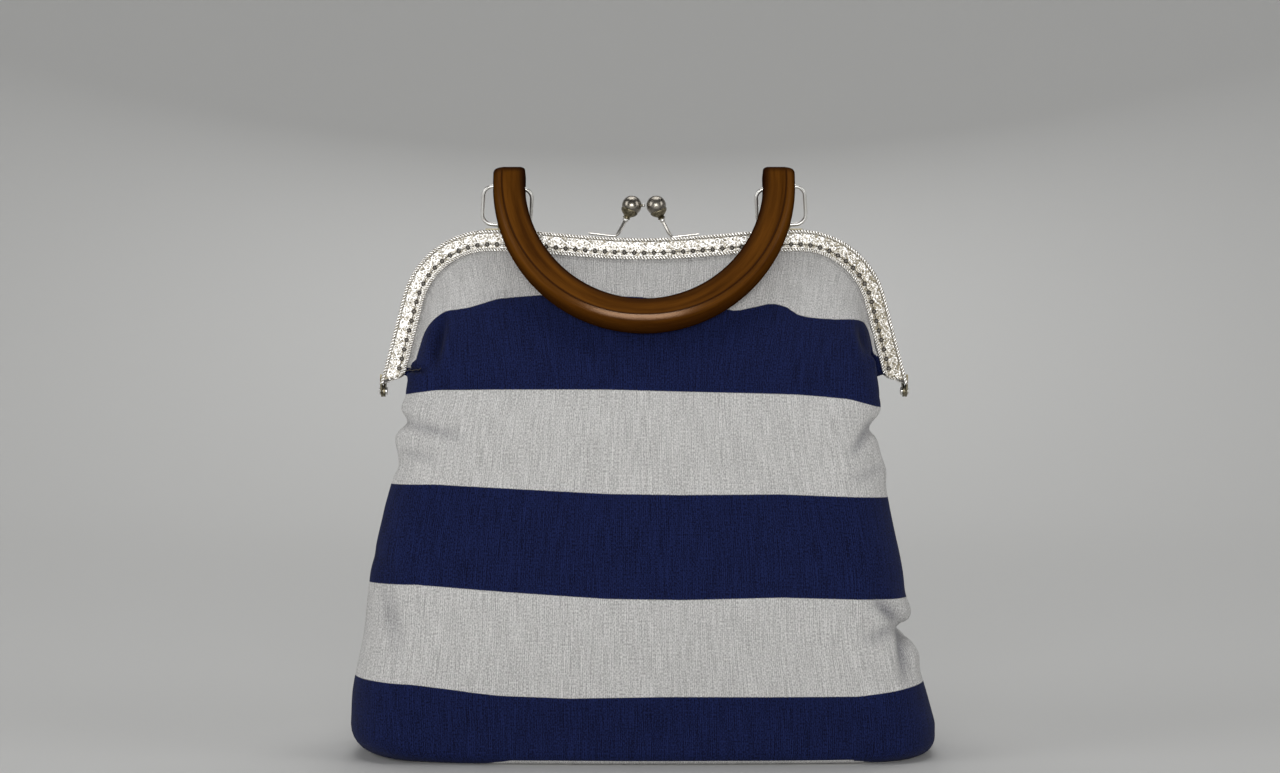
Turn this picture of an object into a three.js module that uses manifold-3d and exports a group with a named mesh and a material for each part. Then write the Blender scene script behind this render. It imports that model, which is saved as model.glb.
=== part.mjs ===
// A soft striped handbag on a hinged metal purse frame, with a wooden bail handle on two wire rings.
// Millimetres, +Z up. The front faces -Y and the base stands on z = 0 around the origin.
import * as THREE from "three";
import { mergeVertices } from "three/addons/utils/BufferGeometryUtils.js";
import Module from "manifold-3d";

const radians = THREE.MathUtils.degToRad;

// Purse frame: one arch of stamped channel, used for both halves
const FRAME_TOP_Z = 259;
const FRAME_DIP = 4.2;
const SHOULDER_X = 77;
const SHOULDER_RADIUS = 44.5;
const LEG_LEAN = radians(14.4);
const LEG_END_Z = 184;
const LEG_TIP_Z = 182.2;
const LEG_FACE_END_Z = 184.3;
const LEG_INNER_END_Z = 189;
const BAND_WIDTH = 10.8;
const INNER_WALL_WIDTH = 8;
const SHEET = 0.9;
const RIM_WIDTH = 1.3;
const RIM_RAISE = 0.4;
const FLANGE_DEPTH = 0.2;
const INNER_WALL_DEPTH = 0.9;
const FACE_DEPTH = 5.5;

// Sewing holes along the band
const HOLES = 67;
const HOLE_SIDES = 4;
const HOLE_RADIUS = 1;
const HOLE_INSET = 7.3;
const HOLE_REACH = 0.955;

// Cloth bag
const CLOTH = 2;
const CLOTH_DEPTH = 4.2;
const CLOTH_EDGE_INSET = 2.5;
const CLOTH_MOUTH_INSET = 11.2;
const CLOTH_REACH = 0.968;
const SLIT_Z = 176;
const BASE_ROUND_FRONT = 6;
const BASE_ROUND_LEFT = 15;
const BASE_ROUND_RIGHT = 9;
const BASE_ROUND_STEPS = 3;
const BASE_CROWN_SHARE = 0.8;
const TUCK_START = 0.8;
const THROAT_STEPS = 7;
const THROAT_INWARD = 0.1;
const THROAT_FORWARD = 0.13;
const THROAT_DROP = 0.3;

// Each row is a level section of the bag: its half widths, the depth of its front corners from the side
// seam, how far the front swells past them, the corner radius and how far the side seam tucks in.
const SECTIONS = [
  { z: 16, left: 144.3, right: 143.2, depth: 42, crown: 6, corner: 30, tuck: 0 },
  { z: 34, left: 143.4, right: 138.4, depth: 44, crown: 7, corner: 30, tuck: 1 },
  { z: 62, left: 138.6, right: 130.5, depth: 44.5, crown: 9, corner: 30, tuck: 4 },
  { z: 90, left: 135.4, right: 128.4, depth: 44.5, crown: 9.5, corner: 28, tuck: 8 },
  { z: 120, left: 129.4, right: 122.2, depth: 43.5, crown: 10, corner: 26, tuck: 13 },
  { z: 140, left: 124.4, right: 118.6, depth: 41.5, crown: 10.5, corner: 24, tuck: 18 },
  { z: 160, left: 121.4, right: 115.4, depth: 38.5, crown: 11.5, corner: 20, tuck: 20 },
  { z: 176, left: 118.4, right: 116.4, depth: 34, crown: 12, corner: 17, tuck: 12 },
];
const LEVELS = [24, 36, 46, 54, 62, 70, 80, 94, 110, 126, 136, 143, 150, 157, 164, 170, 176];

// Each row is a fold in the cloth beside a seam: the side it is on, its height, its place round the half
// panel (0 at the front middle, 1 at the seam), its spread and how far it stands out of the wall.
const FOLDS = [
  { side: -1, z: 171, around: 0.9, high: 4, wide: 0.12, out: 2 },
  { side: -1, z: 164, around: 0.86, high: 4, wide: 0.12, out: -3 },
  { side: -1, z: 156, around: 0.9, high: 4.5, wide: 0.12, out: 2.2 },
  { side: -1, z: 143, around: 0.86, high: 5, wide: 0.12, out: -2.2 },
  { side: 1, z: 171, around: 0.9, high: 4.5, wide: 0.12, out: 2 },
  { side: 1, z: 160, around: 0.86, high: 5, wide: 0.13, out: -4 },
  { side: 1, z: 141, around: 0.9, high: 5, wide: 0.12, out: 2.6 },
  { side: 1, z: 72, around: 0.88, high: 6, wide: 0.12, out: 2.4 },
  { side: 1, z: 62, around: 0.86, high: 4.5, wide: 0.1, out: -5 },
  { side: 1, z: 50, around: 0.88, high: 5, wide: 0.12, out: 2 },
];

// Columns of the cloth from the front middle to the seam, closest at the corner
const HALF_COLUMNS = [0, 0.2, 0.4, 0.56, 0.66, 0.73, 0.79, 0.85, 0.91, 0.955, 1];

// Hinge ears and rivets
const RIVET_Z = 178.8;
const EAR_RADIUS = 2.9;
const EAR_TOP_Z = 187;
const FRONT_EAR_X = 130.5;
const BACK_EAR_X = 129.2;
const RIVET_RADIUS = 1;
const RIVET_HOLE_RADIUS = 1.3;
const RIVET_HEAD_RADIUS = 2;
const RIVET_HEAD = 0.8;
const FIT_GAP = 0.3;

// Ring lugs and wire rings
const LUG_X = 68.8;
const LUG_LENGTH = 8;
const LUG_RADIUS = 2.3;
const LUG_HOLE_RADIUS = 1.5;
const LUG_RISE = 2.4;
const LUG_FOOT_IN = 5;
const LUG_FOOT_OUT = 10;
const LUG_FOOT_RISE = 0.7;
const LUG_DEPTH = 2.9;
const WIRE_RADIUS = 0.95;
const RING_WIDTH = 24;
const RING_HEIGHT = 19.5;
const RING_CORNER = 5;
const RING_LEAN = radians(20);
const RING_SPLAY = radians(4.6);

// Handle
const HANDLE_RADIUS = 66.8;
const HANDLE_WIDTH = 15.6;
const HANDLE_THICKNESS = 13.5;
const HANDLE_EDGE_ROUND = 4.2;
const HANDLE_LEG_ABOVE = 8.6;
const HANDLE_LEG_BELOW = 5.1;
const HANDLE_TILT = radians(24.5);
const HANDLE_HOLE_RADIUS = 2.2;

// Kiss-lock clasp
const BALL_RADIUS = 4.9;
const BALL_X = 6.1;
const BALL_Z = 271.5;
const NECK_X = 9.2;
const NECK_Z = 264.2;
const NECK_DEPTH = 0.7;
const NECK_RADIUS = 1.4;
const CUP_RADIUS = 3.1;
const CUP_SHARE = 0.6;
const CUP_SHIFT = 0.08;
const ARM_BEND_X = 14.8;
const ARM_FOOT_X = 27.5;
const ARM_FOOT_STEPS = 3;
const ARM_BEND = 1.5;
const ARM_THICKNESS = 1;
const ARM_WIDTH = 3.6;
const NUB_RADIUS = 0.9;

const wasm = await Module();
wasm.setup();

// A closed geometry as a solid for joining and cutting
function solidOf(geometry) {
  const bare = geometry.clone();
  bare.deleteAttribute("normal");
  bare.deleteAttribute("uv");
  const merged = mergeVertices(bare, 1e-4);
  return new wasm.Manifold(
    new wasm.Mesh({
      numProp: 3,
      vertProperties: new Float32Array(merged.attributes.position.array),
      triVerts: new Uint32Array(merged.index.array),
    }),
  );
}

function geometryOf(solid) {
  const mesh = solid.getMesh();
  const geometry = new THREE.BufferGeometry();
  geometry.setAttribute("position", new THREE.BufferAttribute(mesh.vertProperties, 3));
  geometry.setIndex(new THREE.BufferAttribute(mesh.triVerts, 1));
  geometry.computeVertexNormals();
  return geometry;
}

// Skins a row of rings, each a list of points going the same way round, and caps or joins the two ends
function loft(rings, joined = false) {
  const count = rings[0].length;
  const positions = rings.flat().flatMap((p) => [p.x, p.y, p.z]);
  const index = [];
  const last = joined ? rings.length : rings.length - 1;
  for (let r = 0; r < last; r++) {
    const next = (r + 1) % rings.length;
    for (let k = 0; k < count; k++) {
      const a = r * count + k;
      const b = r * count + ((k + 1) % count);
      const c = next * count + k;
      const d = next * count + ((k + 1) % count);
      index.push(a, b, d, a, d, c);
    }
  }
  return { positions, index, count };
}

function geometryFrom(positions, index) {
  const geometry = new THREE.BufferGeometry();
  geometry.setAttribute("position", new THREE.Float32BufferAttribute(positions, 3));
  geometry.setIndex(index);
  return geometry;
}

// Turns a closed geometry the right way out
function facingOut(geometry) {
  const position = geometry.attributes.position;
  const index = geometry.index.array;
  const [a, b, c] = [new THREE.Vector3(), new THREE.Vector3(), new THREE.Vector3()];
  let volume = 0;
  for (let i = 0; i < index.length; i += 3) {
    a.fromBufferAttribute(position, index[i]);
    b.fromBufferAttribute(position, index[i + 1]);
    c.fromBufferAttribute(position, index[i + 2]);
    volume += a.dot(b.cross(c));
  }
  if (volume < 0) {
    for (let i = 0; i < index.length; i += 3) {
      [index[i + 1], index[i + 2]] = [index[i + 2], index[i + 1]];
    }
  }
  return geometry;
}

// A bar of the flat section "outline" (pairs of numbers) swept through "rings", with flat ends
function bar(rings, outline) {
  const { positions, index, count } = loft(rings);
  const contour = outline.map(([u, v]) => new THREE.Vector2(u, v));
  const turned = THREE.ShapeUtils.isClockWise(contour);
  const end = (rings.length - 1) * count;
  for (const [a, p, q] of THREE.ShapeUtils.triangulateShape(contour, [])) {
    const [b, c] = turned ? [q, p] : [p, q];
    index.push(a, c, b, end + a, end + b, end + c);
  }
  return facingOut(geometryFrom(positions, index));
}

// Height of the frame's top edge at x, between the shoulders
function frameTop(x) {
  return FRAME_TOP_Z - (FRAME_DIP / 2) * (1 + Math.cos((Math.PI * x) / SHOULDER_X));
}

const SHOULDER_SWEEP = Math.PI / 2 - LEG_LEAN;
const LEG_START_Z = FRAME_TOP_Z - SHOULDER_RADIUS * (1 - Math.sin(LEG_LEAN));
const LEG_LENGTH = (LEG_START_Z - LEG_END_Z) / Math.cos(LEG_LEAN);
const SHOULDER_LENGTH = SHOULDER_RADIUS * SHOULDER_SWEEP;
const ARCH_HALF = SHOULDER_X + SHOULDER_LENGTH + LEG_LENGTH;

// A point of the arch. u runs from -1 at the left leg's end to 1 at the right one's, and inset is the
// distance in from the outer edge. inward is the unit vector that the inset is measured along.
function archAt(u, inset) {
  const side = Math.sign(u) || 1;
  const run = Math.abs(u) * ARCH_HALF;
  const edge = new THREE.Vector3();
  const inward = new THREE.Vector3();
  if (run <= SHOULDER_X) {
    const slope = ((FRAME_DIP * Math.PI) / (2 * SHOULDER_X)) * Math.sin((Math.PI * run) / SHOULDER_X);
    edge.set(run, 0, frameTop(run));
    inward.set(slope, 0, -1).normalize();
  } else {
    const turn = Math.min((run - SHOULDER_X) / SHOULDER_RADIUS, SHOULDER_SWEEP);
    const leg = Math.max(run - SHOULDER_X - SHOULDER_LENGTH, 0);
    inward.set(-Math.sin(turn), 0, -Math.cos(turn));
    edge.set(SHOULDER_X, 0, FRAME_TOP_Z - SHOULDER_RADIUS).addScaledVector(inward, -SHOULDER_RADIUS);
    edge.x += leg * Math.sin(LEG_LEAN);
    edge.z -= leg * Math.cos(LEG_LEAN);
  }
  edge.addScaledVector(inward, inset);
  edge.x *= side;
  inward.x *= side;
  return { point: edge, inward };
}

// Arch stations: the top, the two shoulders and the legs each get their own number of steps
function archStations() {
  const [topSteps, shoulderSteps, legSteps] = [6, 6, 1];
  const half = [];
  for (let i = 0; i < topSteps; i++) half.push((i / topSteps) * SHOULDER_X);
  for (let i = 0; i < shoulderSteps; i++) half.push(SHOULDER_X + (i / shoulderSteps) * SHOULDER_LENGTH);
  for (let i = 0; i <= legSteps; i++) half.push(SHOULDER_X + SHOULDER_LENGTH + (i / legSteps) * LEG_LENGTH);
  const right = half.map((run) => run / ARCH_HALF);
  const left = right.slice(1).reverse();
  return [...left.map((u) => -u), ...right];
}

// Section of the channel: inset from the outer edge, and depth from the plane where the halves meet
const CHANNEL = [
  [0, FLANGE_DEPTH],
  [0, FACE_DEPTH + RIM_RAISE],
  [RIM_WIDTH, FACE_DEPTH + RIM_RAISE],
  [RIM_WIDTH, FACE_DEPTH],
  [BAND_WIDTH - RIM_WIDTH, FACE_DEPTH],
  [BAND_WIDTH - RIM_WIDTH, FACE_DEPTH + RIM_RAISE],
  [BAND_WIDTH, FACE_DEPTH + RIM_RAISE],
  [BAND_WIDTH, FACE_DEPTH - SHEET],
  [SHEET, FACE_DEPTH - SHEET],
  [SHEET, INNER_WALL_DEPTH + SHEET],
  [INNER_WALL_WIDTH, INNER_WALL_DEPTH + SHEET],
  [INNER_WALL_WIDTH, INNER_WALL_DEPTH],
  [SHEET, INNER_WALL_DEPTH],
  [SHEET, FLANGE_DEPTH],
];

// Height that a leg ends at: its outer tip runs on to the hinge and its inner corner is cut away
function legEnd(inset) {
  if (inset <= SHEET) return LEG_TIP_Z;
  if (inset <= RIM_WIDTH) return LEG_FACE_END_Z;
  const in01 = (inset - RIM_WIDTH) / (BAND_WIDTH - RIM_WIDTH);
  return THREE.MathUtils.lerp(LEG_FACE_END_Z, LEG_INNER_END_Z, in01 ** 4);
}

// The bare channel of one half. face is -1 for the front half and 1 for the back half.
function channel(face) {
  const rings = archStations().map((u) =>
    CHANNEL.map(([inset, depth]) => {
      const { point } = archAt(u, inset);
      if (Math.abs(u) === 1) {
        const rise = legEnd(inset) - point.z;
        point.z += rise;
        point.x -= Math.sign(u) * rise * Math.tan(LEG_LEAN);
      }
      point.y = face * depth;
      return point;
    }),
  );
  return solidOf(bar(rings, CHANNEL));
}

// Small prisms to cut along the row of sewing holes, evenly spaced round the arch
function sewingHoles(face) {
  const samples = [];
  const steps = 400;
  let run = 0;
  for (let i = 0; i <= steps; i++) {
    const u = HOLE_REACH * ((2 * i) / steps - 1);
    const { point } = archAt(u, HOLE_INSET);
    if (i > 0) run += point.distanceTo(samples[i - 1].point);
    samples.push({ point, run });
  }
  const cutters = [];
  for (let k = 0; k < HOLES; k++) {
    const wanted = (run * k) / (HOLES - 1);
    const { point } = samples.find((sample) => sample.run >= wanted - 1e-6);
    const cutter = new THREE.CylinderGeometry(HOLE_RADIUS, HOLE_RADIUS, 3 * SHEET, HOLE_SIDES);
    cutter.translate(point.x, face * (FACE_DEPTH - SHEET / 2), point.z);
    cutters.push(solidOf(cutter));
  }
  return cutters;
}

// Hinge ear on the end of a leg, a plate across X that laps the other half's ear at the rivet
function ear(face, side, x) {
  const outline = new THREE.Shape();
  const shoulder = FACE_DEPTH - SHEET;
  outline.moveTo(face * shoulder, EAR_TOP_Z);
  outline.lineTo(face * 2 * FLANGE_DEPTH, EAR_TOP_Z);
  outline.lineTo(face * 2 * FLANGE_DEPTH, LEG_TIP_Z);
  const arcSteps = 8;
  for (let k = 0; k <= arcSteps; k++) {
    const angle = Math.PI / 2 - (Math.PI * k) / arcSteps;
    outline.lineTo(-face * EAR_RADIUS * Math.cos(angle), RIVET_Z + EAR_RADIUS * Math.sin(angle));
  }
  outline.lineTo(face * shoulder, LEG_TIP_Z);
  outline.closePath();
  const plate = new THREE.ExtrudeGeometry(outline, { depth: SHEET, bevelEnabled: false, steps: 1 });
  // The outline was drawn as (depth, height): turn it so that it lies across X
  plate.applyMatrix4(new THREE.Matrix4().set(0, 0, 1, x, 1, 0, 0, 0, 0, 1, 0, 0, 0, 0, 0, 1));
  if (side < 0) plate.applyMatrix4(new THREE.Matrix4().makeTranslation(-2 * x - SHEET, 0, 0));
  const hole = new THREE.CylinderGeometry(RIVET_HOLE_RADIUS, RIVET_HOLE_RADIUS, 4 * SHEET, 8);
  hole.rotateZ(Math.PI / 2);
  hole.translate(side * (x + SHEET / 2), 0, RIVET_Z);
  return solidOf(plate).subtract(solidOf(hole));
}

// Ring lug: a rolled eye on a block and a strip foot that runs on outwards, soldered to the top of the front half
function lug(side) {
  const x = side * LUG_X;
  const z = frameTop(LUG_X) + LUG_RISE;
  const eye = new THREE.CylinderGeometry(LUG_RADIUS, LUG_RADIUS, LUG_LENGTH, 14);
  eye.rotateZ(Math.PI / 2);
  eye.translate(x, -LUG_DEPTH, z);
  const block = new THREE.BoxGeometry(LUG_LENGTH, 2 * LUG_RADIUS, LUG_RISE + SHEET / 2);
  block.translate(x, -LUG_DEPTH, z - (LUG_RISE + SHEET / 2) / 2);
  const foot = new THREE.BoxGeometry(LUG_FOOT_IN + LUG_FOOT_OUT, 2 * LUG_RADIUS, LUG_FOOT_RISE + SHEET / 2);
  const footX = x + (side * (LUG_FOOT_OUT - LUG_FOOT_IN)) / 2;
  foot.translate(footX, -LUG_DEPTH, z - LUG_RISE + (LUG_FOOT_RISE - SHEET / 2) / 2);
  const hole = new THREE.CylinderGeometry(LUG_HOLE_RADIUS, LUG_HOLE_RADIUS, 2 * LUG_LENGTH, 12);
  hole.rotateZ(Math.PI / 2);
  hole.translate(x, -LUG_DEPTH, z);
  return solidOf(eye).add(solidOf(block)).add(solidOf(foot)).subtract(solidOf(hole));
}

function frameHalf(face) {
  let half = channel(face);
  for (const cutter of sewingHoles(face)) half = half.subtract(cutter);
  for (const side of [-1, 1]) {
    half = half.add(ear(face, side, face < 0 ? FRONT_EAR_X : BACK_EAR_X));
    if (face < 0) half = half.add(lug(side));
  }
  return geometryOf(half);
}

// A section of the table worked out at any height, with a smooth run between the rows
function sectionAt(z) {
  const rows = SECTIONS;
  const last = rows.length - 1;
  const found = rows.findIndex((row) => row.z >= z);
  const i = THREE.MathUtils.clamp(found < 0 ? last : found, 1, last);
  const [from, to] = [rows[i - 1], rows[i]];
  const before = rows[Math.max(i - 2, 0)];
  const after = rows[Math.min(i + 1, last)];
  const t = THREE.MathUtils.clamp((z - from.z) / (to.z - from.z), 0, 1);
  const values = {};
  for (const key of ["left", "right", "depth", "crown", "corner", "tuck"]) {
    const span = to.z - from.z;
    const slopeIn = ((to[key] - before[key]) / (to.z - before.z)) * span;
    const slopeOut = ((after[key] - from[key]) / (after.z - from.z)) * span;
    values[key] =
      from[key] * (2 * t ** 3 - 3 * t ** 2 + 1) +
      to[key] * (3 * t ** 2 - 2 * t ** 3) +
      slopeIn * (t ** 3 - 2 * t ** 2 + t) +
      slopeOut * (t ** 3 - t ** 2);
  }
  return values;
}

// How far the folds stand out of the wall at a place on it
function foldAt(u, z) {
  let out = 0;
  for (const fold of FOLDS) {
    if (fold.side * u <= 0) continue;
    const across = (Math.abs(u) - fold.around) / fold.wide;
    const up = (z - fold.z) / fold.high;
    out += fold.out * Math.exp(-across * across - up * up);
  }
  return out;
}

// A point of the front wall below the frame, at height z and place u round the panel (-1 and 1 are the
// side seams). shrink draws the section in, for the rounding of the base.
function wallAt(u, z, shrink) {
  const section = sectionAt(z);
  const side = Math.sign(u) || 1;
  const corner = section.corner - shrink / 2;
  const width = (side < 0 ? section.left : section.right) - shrink;
  const depth = section.depth - shrink;
  const front = width - corner;
  const arc = (corner * Math.PI) / 2;
  const flank = depth - corner;
  const run = Math.abs(u) * (front + arc + flank);
  const point = new THREE.Vector3(0, 0, z);
  if (run <= front) {
    point.set(run, -depth, z);
  } else if (run <= front + arc) {
    const angle = (run - front) / corner;
    point.set(front + corner * Math.sin(angle), -depth + corner * (1 - Math.cos(angle)), z);
  } else {
    point.set(width, -depth + corner + (run - front - arc), z);
  }
  const across = point.x / width;
  point.y -= section.crown * Math.max(1 - across * across, 0) * (shrink > 0 ? BASE_CROWN_SHARE : 1);
  const toSeam = THREE.MathUtils.smoothstep(Math.abs(u), TUCK_START, 1);
  point.x -= section.tuck * toSeam;
  const sideways = Math.abs(across) ** 3;
  const fold = foldAt(u, z);
  point.x += fold * sideways;
  point.y -= fold * (1 - sideways);
  if (Math.abs(u) === 1) point.y = 0;
  point.x *= side;
  return point;
}

// Radius that the base turns up with: small along the front, larger at the two ends
function baseRound(u) {
  const end = u < 0 ? BASE_ROUND_LEFT : BASE_ROUND_RIGHT;
  return THREE.MathUtils.lerp(BASE_ROUND_FRONT, end, THREE.MathUtils.smoothstep(Math.abs(u), 0.5, 0.9));
}

// Rows of the front panel's outer face, from the flat base up into the frame's channel
function panelRows() {
  const columns = [...HALF_COLUMNS.slice(1).reverse().map((u) => -u), ...HALF_COLUMNS];
  const rows = [];
  for (let k = 0; k <= BASE_ROUND_STEPS; k++) {
    const angle = (Math.PI / 2) * (k / BASE_ROUND_STEPS);
    rows.push(
      columns.map((u) => {
        const round = baseRound(u);
        const point = wallAt(u, round, round * (1 - Math.sin(angle)));
        point.z = round * (1 - Math.cos(angle));
        return point;
      }),
    );
  }
  for (const z of LEVELS) rows.push(columns.map((u) => wallAt(u, z, 0)));
  const slitRow = rows.length - 1;
  for (let k = 1; k <= THROAT_STEPS; k++) {
    rows.push(columns.map((u) => throatAt(u, k / THROAT_STEPS)));
  }
  rows.push(
    columns.map((u) => {
      const { point } = archAt(u * CLOTH_REACH, CLOTH_EDGE_INSET);
      point.y = -CLOTH_DEPTH;
      return point;
    }),
  );
  return { rows, slitRow };
}

// A point of the throat, which swells out from the frame's lower edge down to the top of the side slits
function throatAt(u, t) {
  const low = wallAt(u, SLIT_Z, 0);
  const { point: high, inward } = archAt(u * CLOTH_REACH, CLOTH_MOUTH_INSET);
  high.y = -CLOTH_DEPTH;
  const span = low.distanceTo(high);
  const leave = high.clone().addScaledVector(inward, THROAT_INWARD * span);
  leave.y -= THROAT_FORWARD * span * (1 - Math.abs(u) ** 6);
  const arrive = low.clone();
  arrive.z += THROAT_DROP * span;
  return new THREE.CubicBezierCurve3(low, arrive, leave, high).getPoint(t);
}

// The bag as one wall of even thickness: front and back panel share the seams up to the slits, and the
// wall turns over at the mouth
function clothBag() {
  const { rows, slitRow } = panelRows();
  const width = rows[0].length;
  const flip = new THREE.Vector3(1, -1, 1);
  const panels = [rows, rows.map((row) => row.map((point) => point.clone().multiply(flip)))];
  const positions = [];
  const places = panels.map((panel, face) =>
    panel.map((row, r) =>
      row.map((point, c) => {
        const seam = (c === 0 || c === width - 1) && r <= slitRow;
        if (face === 1 && seam) return null;
        positions.push(point.x, point.y, point.z);
        return positions.length / 3 - 1;
      }),
    ),
  );
  places[1] = places[1].map((row, r) => row.map((place, c) => place ?? places[0][r][c]));
  const skin = [];
  const quad = (a, b, c, d) => skin.push(a, b, c, a, c, d);
  for (let r = 0; r + 1 < rows.length; r++) {
    for (let c = 0; c + 1 < width; c++) {
      const [front, back] = places;
      quad(front[r][c], front[r][c + 1], front[r + 1][c + 1], front[r + 1][c]);
      quad(back[r][c + 1], back[r][c], back[r + 1][c], back[r + 1][c + 1]);
    }
  }
  for (let c = 0; c + 1 < width; c++) {
    const [front, back] = places.map((place) => place[0]);
    if (c === 0) skin.push(front[0], back[1], front[1]);
    else if (c + 2 === width) skin.push(front[c], back[c], front[c + 1]);
    else quad(front[c], back[c], back[c + 1], front[c + 1]);
  }
  const outside = geometryFrom(positions, skin);
  outside.computeVertexNormals();
  const normals = outside.attributes.normal.array;
  const count = positions.length / 3;
  const all = [...positions, ...positions.map((value, i) => value - CLOTH * normals[i])];
  const index = [...skin];
  for (let i = 0; i < skin.length; i += 3) {
    index.push(skin[i] + count, skin[i + 2] + count, skin[i + 1] + count);
  }
  const turnOver = (a, b) => index.push(b, a, a + count, b, a + count, b + count);
  const top = rows.length - 1;
  for (let c = 0; c + 1 < width; c++) {
    turnOver(places[0][top][c + 1], places[0][top][c]);
    turnOver(places[1][top][c], places[1][top][c + 1]);
  }
  for (let r = slitRow; r < top; r++) {
    turnOver(places[0][r + 1][0], places[0][r][0]);
    turnOver(places[0][r][width - 1], places[0][r + 1][width - 1]);
    turnOver(places[1][r][0], places[1][r + 1][0]);
    turnOver(places[1][r + 1][width - 1], places[1][r][width - 1]);
  }
  return facingOut(geometryFrom(all, index));
}

// One kiss-lock half: a strip arm standing on the frame's top, a neck bead, a cup and the ball.
// side is where the ball lies, and face the half of the frame that it stands on.
function clasp(side, face) {
  const footZ = (x) => frameTop(x) + FIT_GAP + ARM_THICKNESS / 2;
  const stations = [];
  for (let k = 0; k <= ARM_FOOT_STEPS; k++) {
    const x = THREE.MathUtils.lerp(ARM_FOOT_X, ARM_BEND_X, k / ARM_FOOT_STEPS);
    stations.push(new THREE.Vector3(x, LUG_DEPTH, footZ(x)));
  }
  stations.push(new THREE.Vector3(ARM_BEND_X - ARM_BEND, LUG_DEPTH, footZ(ARM_BEND_X) + ARM_BEND / 2));
  stations.push(new THREE.Vector3(NECK_X, NECK_DEPTH, NECK_Z));
  const strip = [
    [-ARM_THICKNESS / 2, -ARM_WIDTH / 2],
    [ARM_THICKNESS / 2, -ARM_WIDTH / 2],
    [ARM_THICKNESS / 2, ARM_WIDTH / 2],
    [-ARM_THICKNESS / 2, ARM_WIDTH / 2],
  ];
  const rings = stations.map((at, i) => {
    const before = stations[Math.max(i - 1, 0)];
    const after = stations[Math.min(i + 1, stations.length - 1)];
    const along = after.clone().sub(before).setY(0).normalize();
    const taper = i === stations.length - 1 ? 0.5 : 1;
    return strip.map(
      ([u, v]) => new THREE.Vector3(at.x + along.z * u, at.y + v * taper, at.z - along.x * u),
    );
  });
  const ballAt = new THREE.Vector3(BALL_X, 0, BALL_Z);
  const neckAt = new THREE.Vector3(NECK_X, NECK_DEPTH, NECK_Z);
  const toBall = ballAt.clone().sub(neckAt);
  const cup = new THREE.CylinderGeometry(CUP_RADIUS, NECK_RADIUS, CUP_SHARE * toBall.length(), 12);
  const upright = new THREE.Vector3(0, 1, 0);
  cup.applyQuaternion(new THREE.Quaternion().setFromUnitVectors(upright, toBall.clone().normalize()));
  const cupAt = neckAt.clone().addScaledVector(toBall, CUP_SHARE / 2 + CUP_SHIFT);
  cup.translate(cupAt.x, cupAt.y, cupAt.z);
  const neck = new THREE.SphereGeometry(NECK_RADIUS, 8, 5).translate(neckAt.x, neckAt.y, neckAt.z);
  const ball = new THREE.SphereGeometry(BALL_RADIUS, 14, 9).translate(ballAt.x, ballAt.y, ballAt.z);
  let whole = solidOf(bar(rings, strip));
  for (const piece of [neck, cup, ball]) whole = whole.add(solidOf(piece));
  if (side < 0) {
    const nub = new THREE.SphereGeometry(NUB_RADIUS, 7, 5).translate(BALL_X - BALL_RADIUS, 0, BALL_Z);
    whole = whole.add(solidOf(nub));
  }
  const geometry = geometryOf(whole);
  geometry.scale(side, face, 1);
  return facingOut(geometry);
}

// Hinge rivet with a head on each side of the two lapped ears
function rivet(side) {
  const inner = BACK_EAR_X - FIT_GAP;
  const outer = FRONT_EAR_X + SHEET + FIT_GAP;
  const profile = [
    [0, inner - RIVET_HEAD],
    [RIVET_HEAD_RADIUS, inner - RIVET_HEAD],
    [RIVET_HEAD_RADIUS, inner],
    [RIVET_RADIUS, inner],
    [RIVET_RADIUS, outer],
    [RIVET_HEAD_RADIUS, outer],
    [0.7 * RIVET_HEAD_RADIUS, outer + RIVET_HEAD],
    [0, outer + RIVET_HEAD],
  ].map(([radius, along]) => new THREE.Vector2(radius, along));
  const geometry = new THREE.LatheGeometry(profile, 8);
  geometry.rotateZ((-side * Math.PI) / 2);
  geometry.translate(0, 0, RIVET_Z);
  return geometryOf(solidOf(geometry));
}

// Wire ring, a rounded rectangle standing on its lower bar, with the lower bar on the local X axis
function wireRing() {
  const sides = 7;
  const cornerSteps = 4;
  const rings = [];
  const [x, z] = [RING_WIDTH / 2 - RING_CORNER, RING_HEIGHT / 2 - RING_CORNER];
  const corners = [
    [x, -z, -90],
    [x, z, 0],
    [-x, z, 90],
    [-x, -z, 180],
  ];
  for (const [cx, cz, start] of corners) {
    for (let k = 0; k <= cornerSteps; k++) {
      const angle = radians(start + (90 * k) / cornerSteps);
      const out = new THREE.Vector3(Math.cos(angle), 0, Math.sin(angle));
      const middle = new THREE.Vector3(cx, 0, cz + RING_HEIGHT / 2).addScaledVector(out, RING_CORNER);
      const ring = [];
      for (let s = 0; s < sides; s++) {
        const round = (2 * Math.PI * s) / sides;
        const point = middle.clone().addScaledVector(out, WIRE_RADIUS * Math.cos(round));
        point.y += WIRE_RADIUS * Math.sin(round);
        ring.push(point);
      }
      rings.push(ring);
    }
  }
  const { positions, index } = loft(rings, true);
  return facingOut(geometryFrom(positions, index));
}

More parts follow.
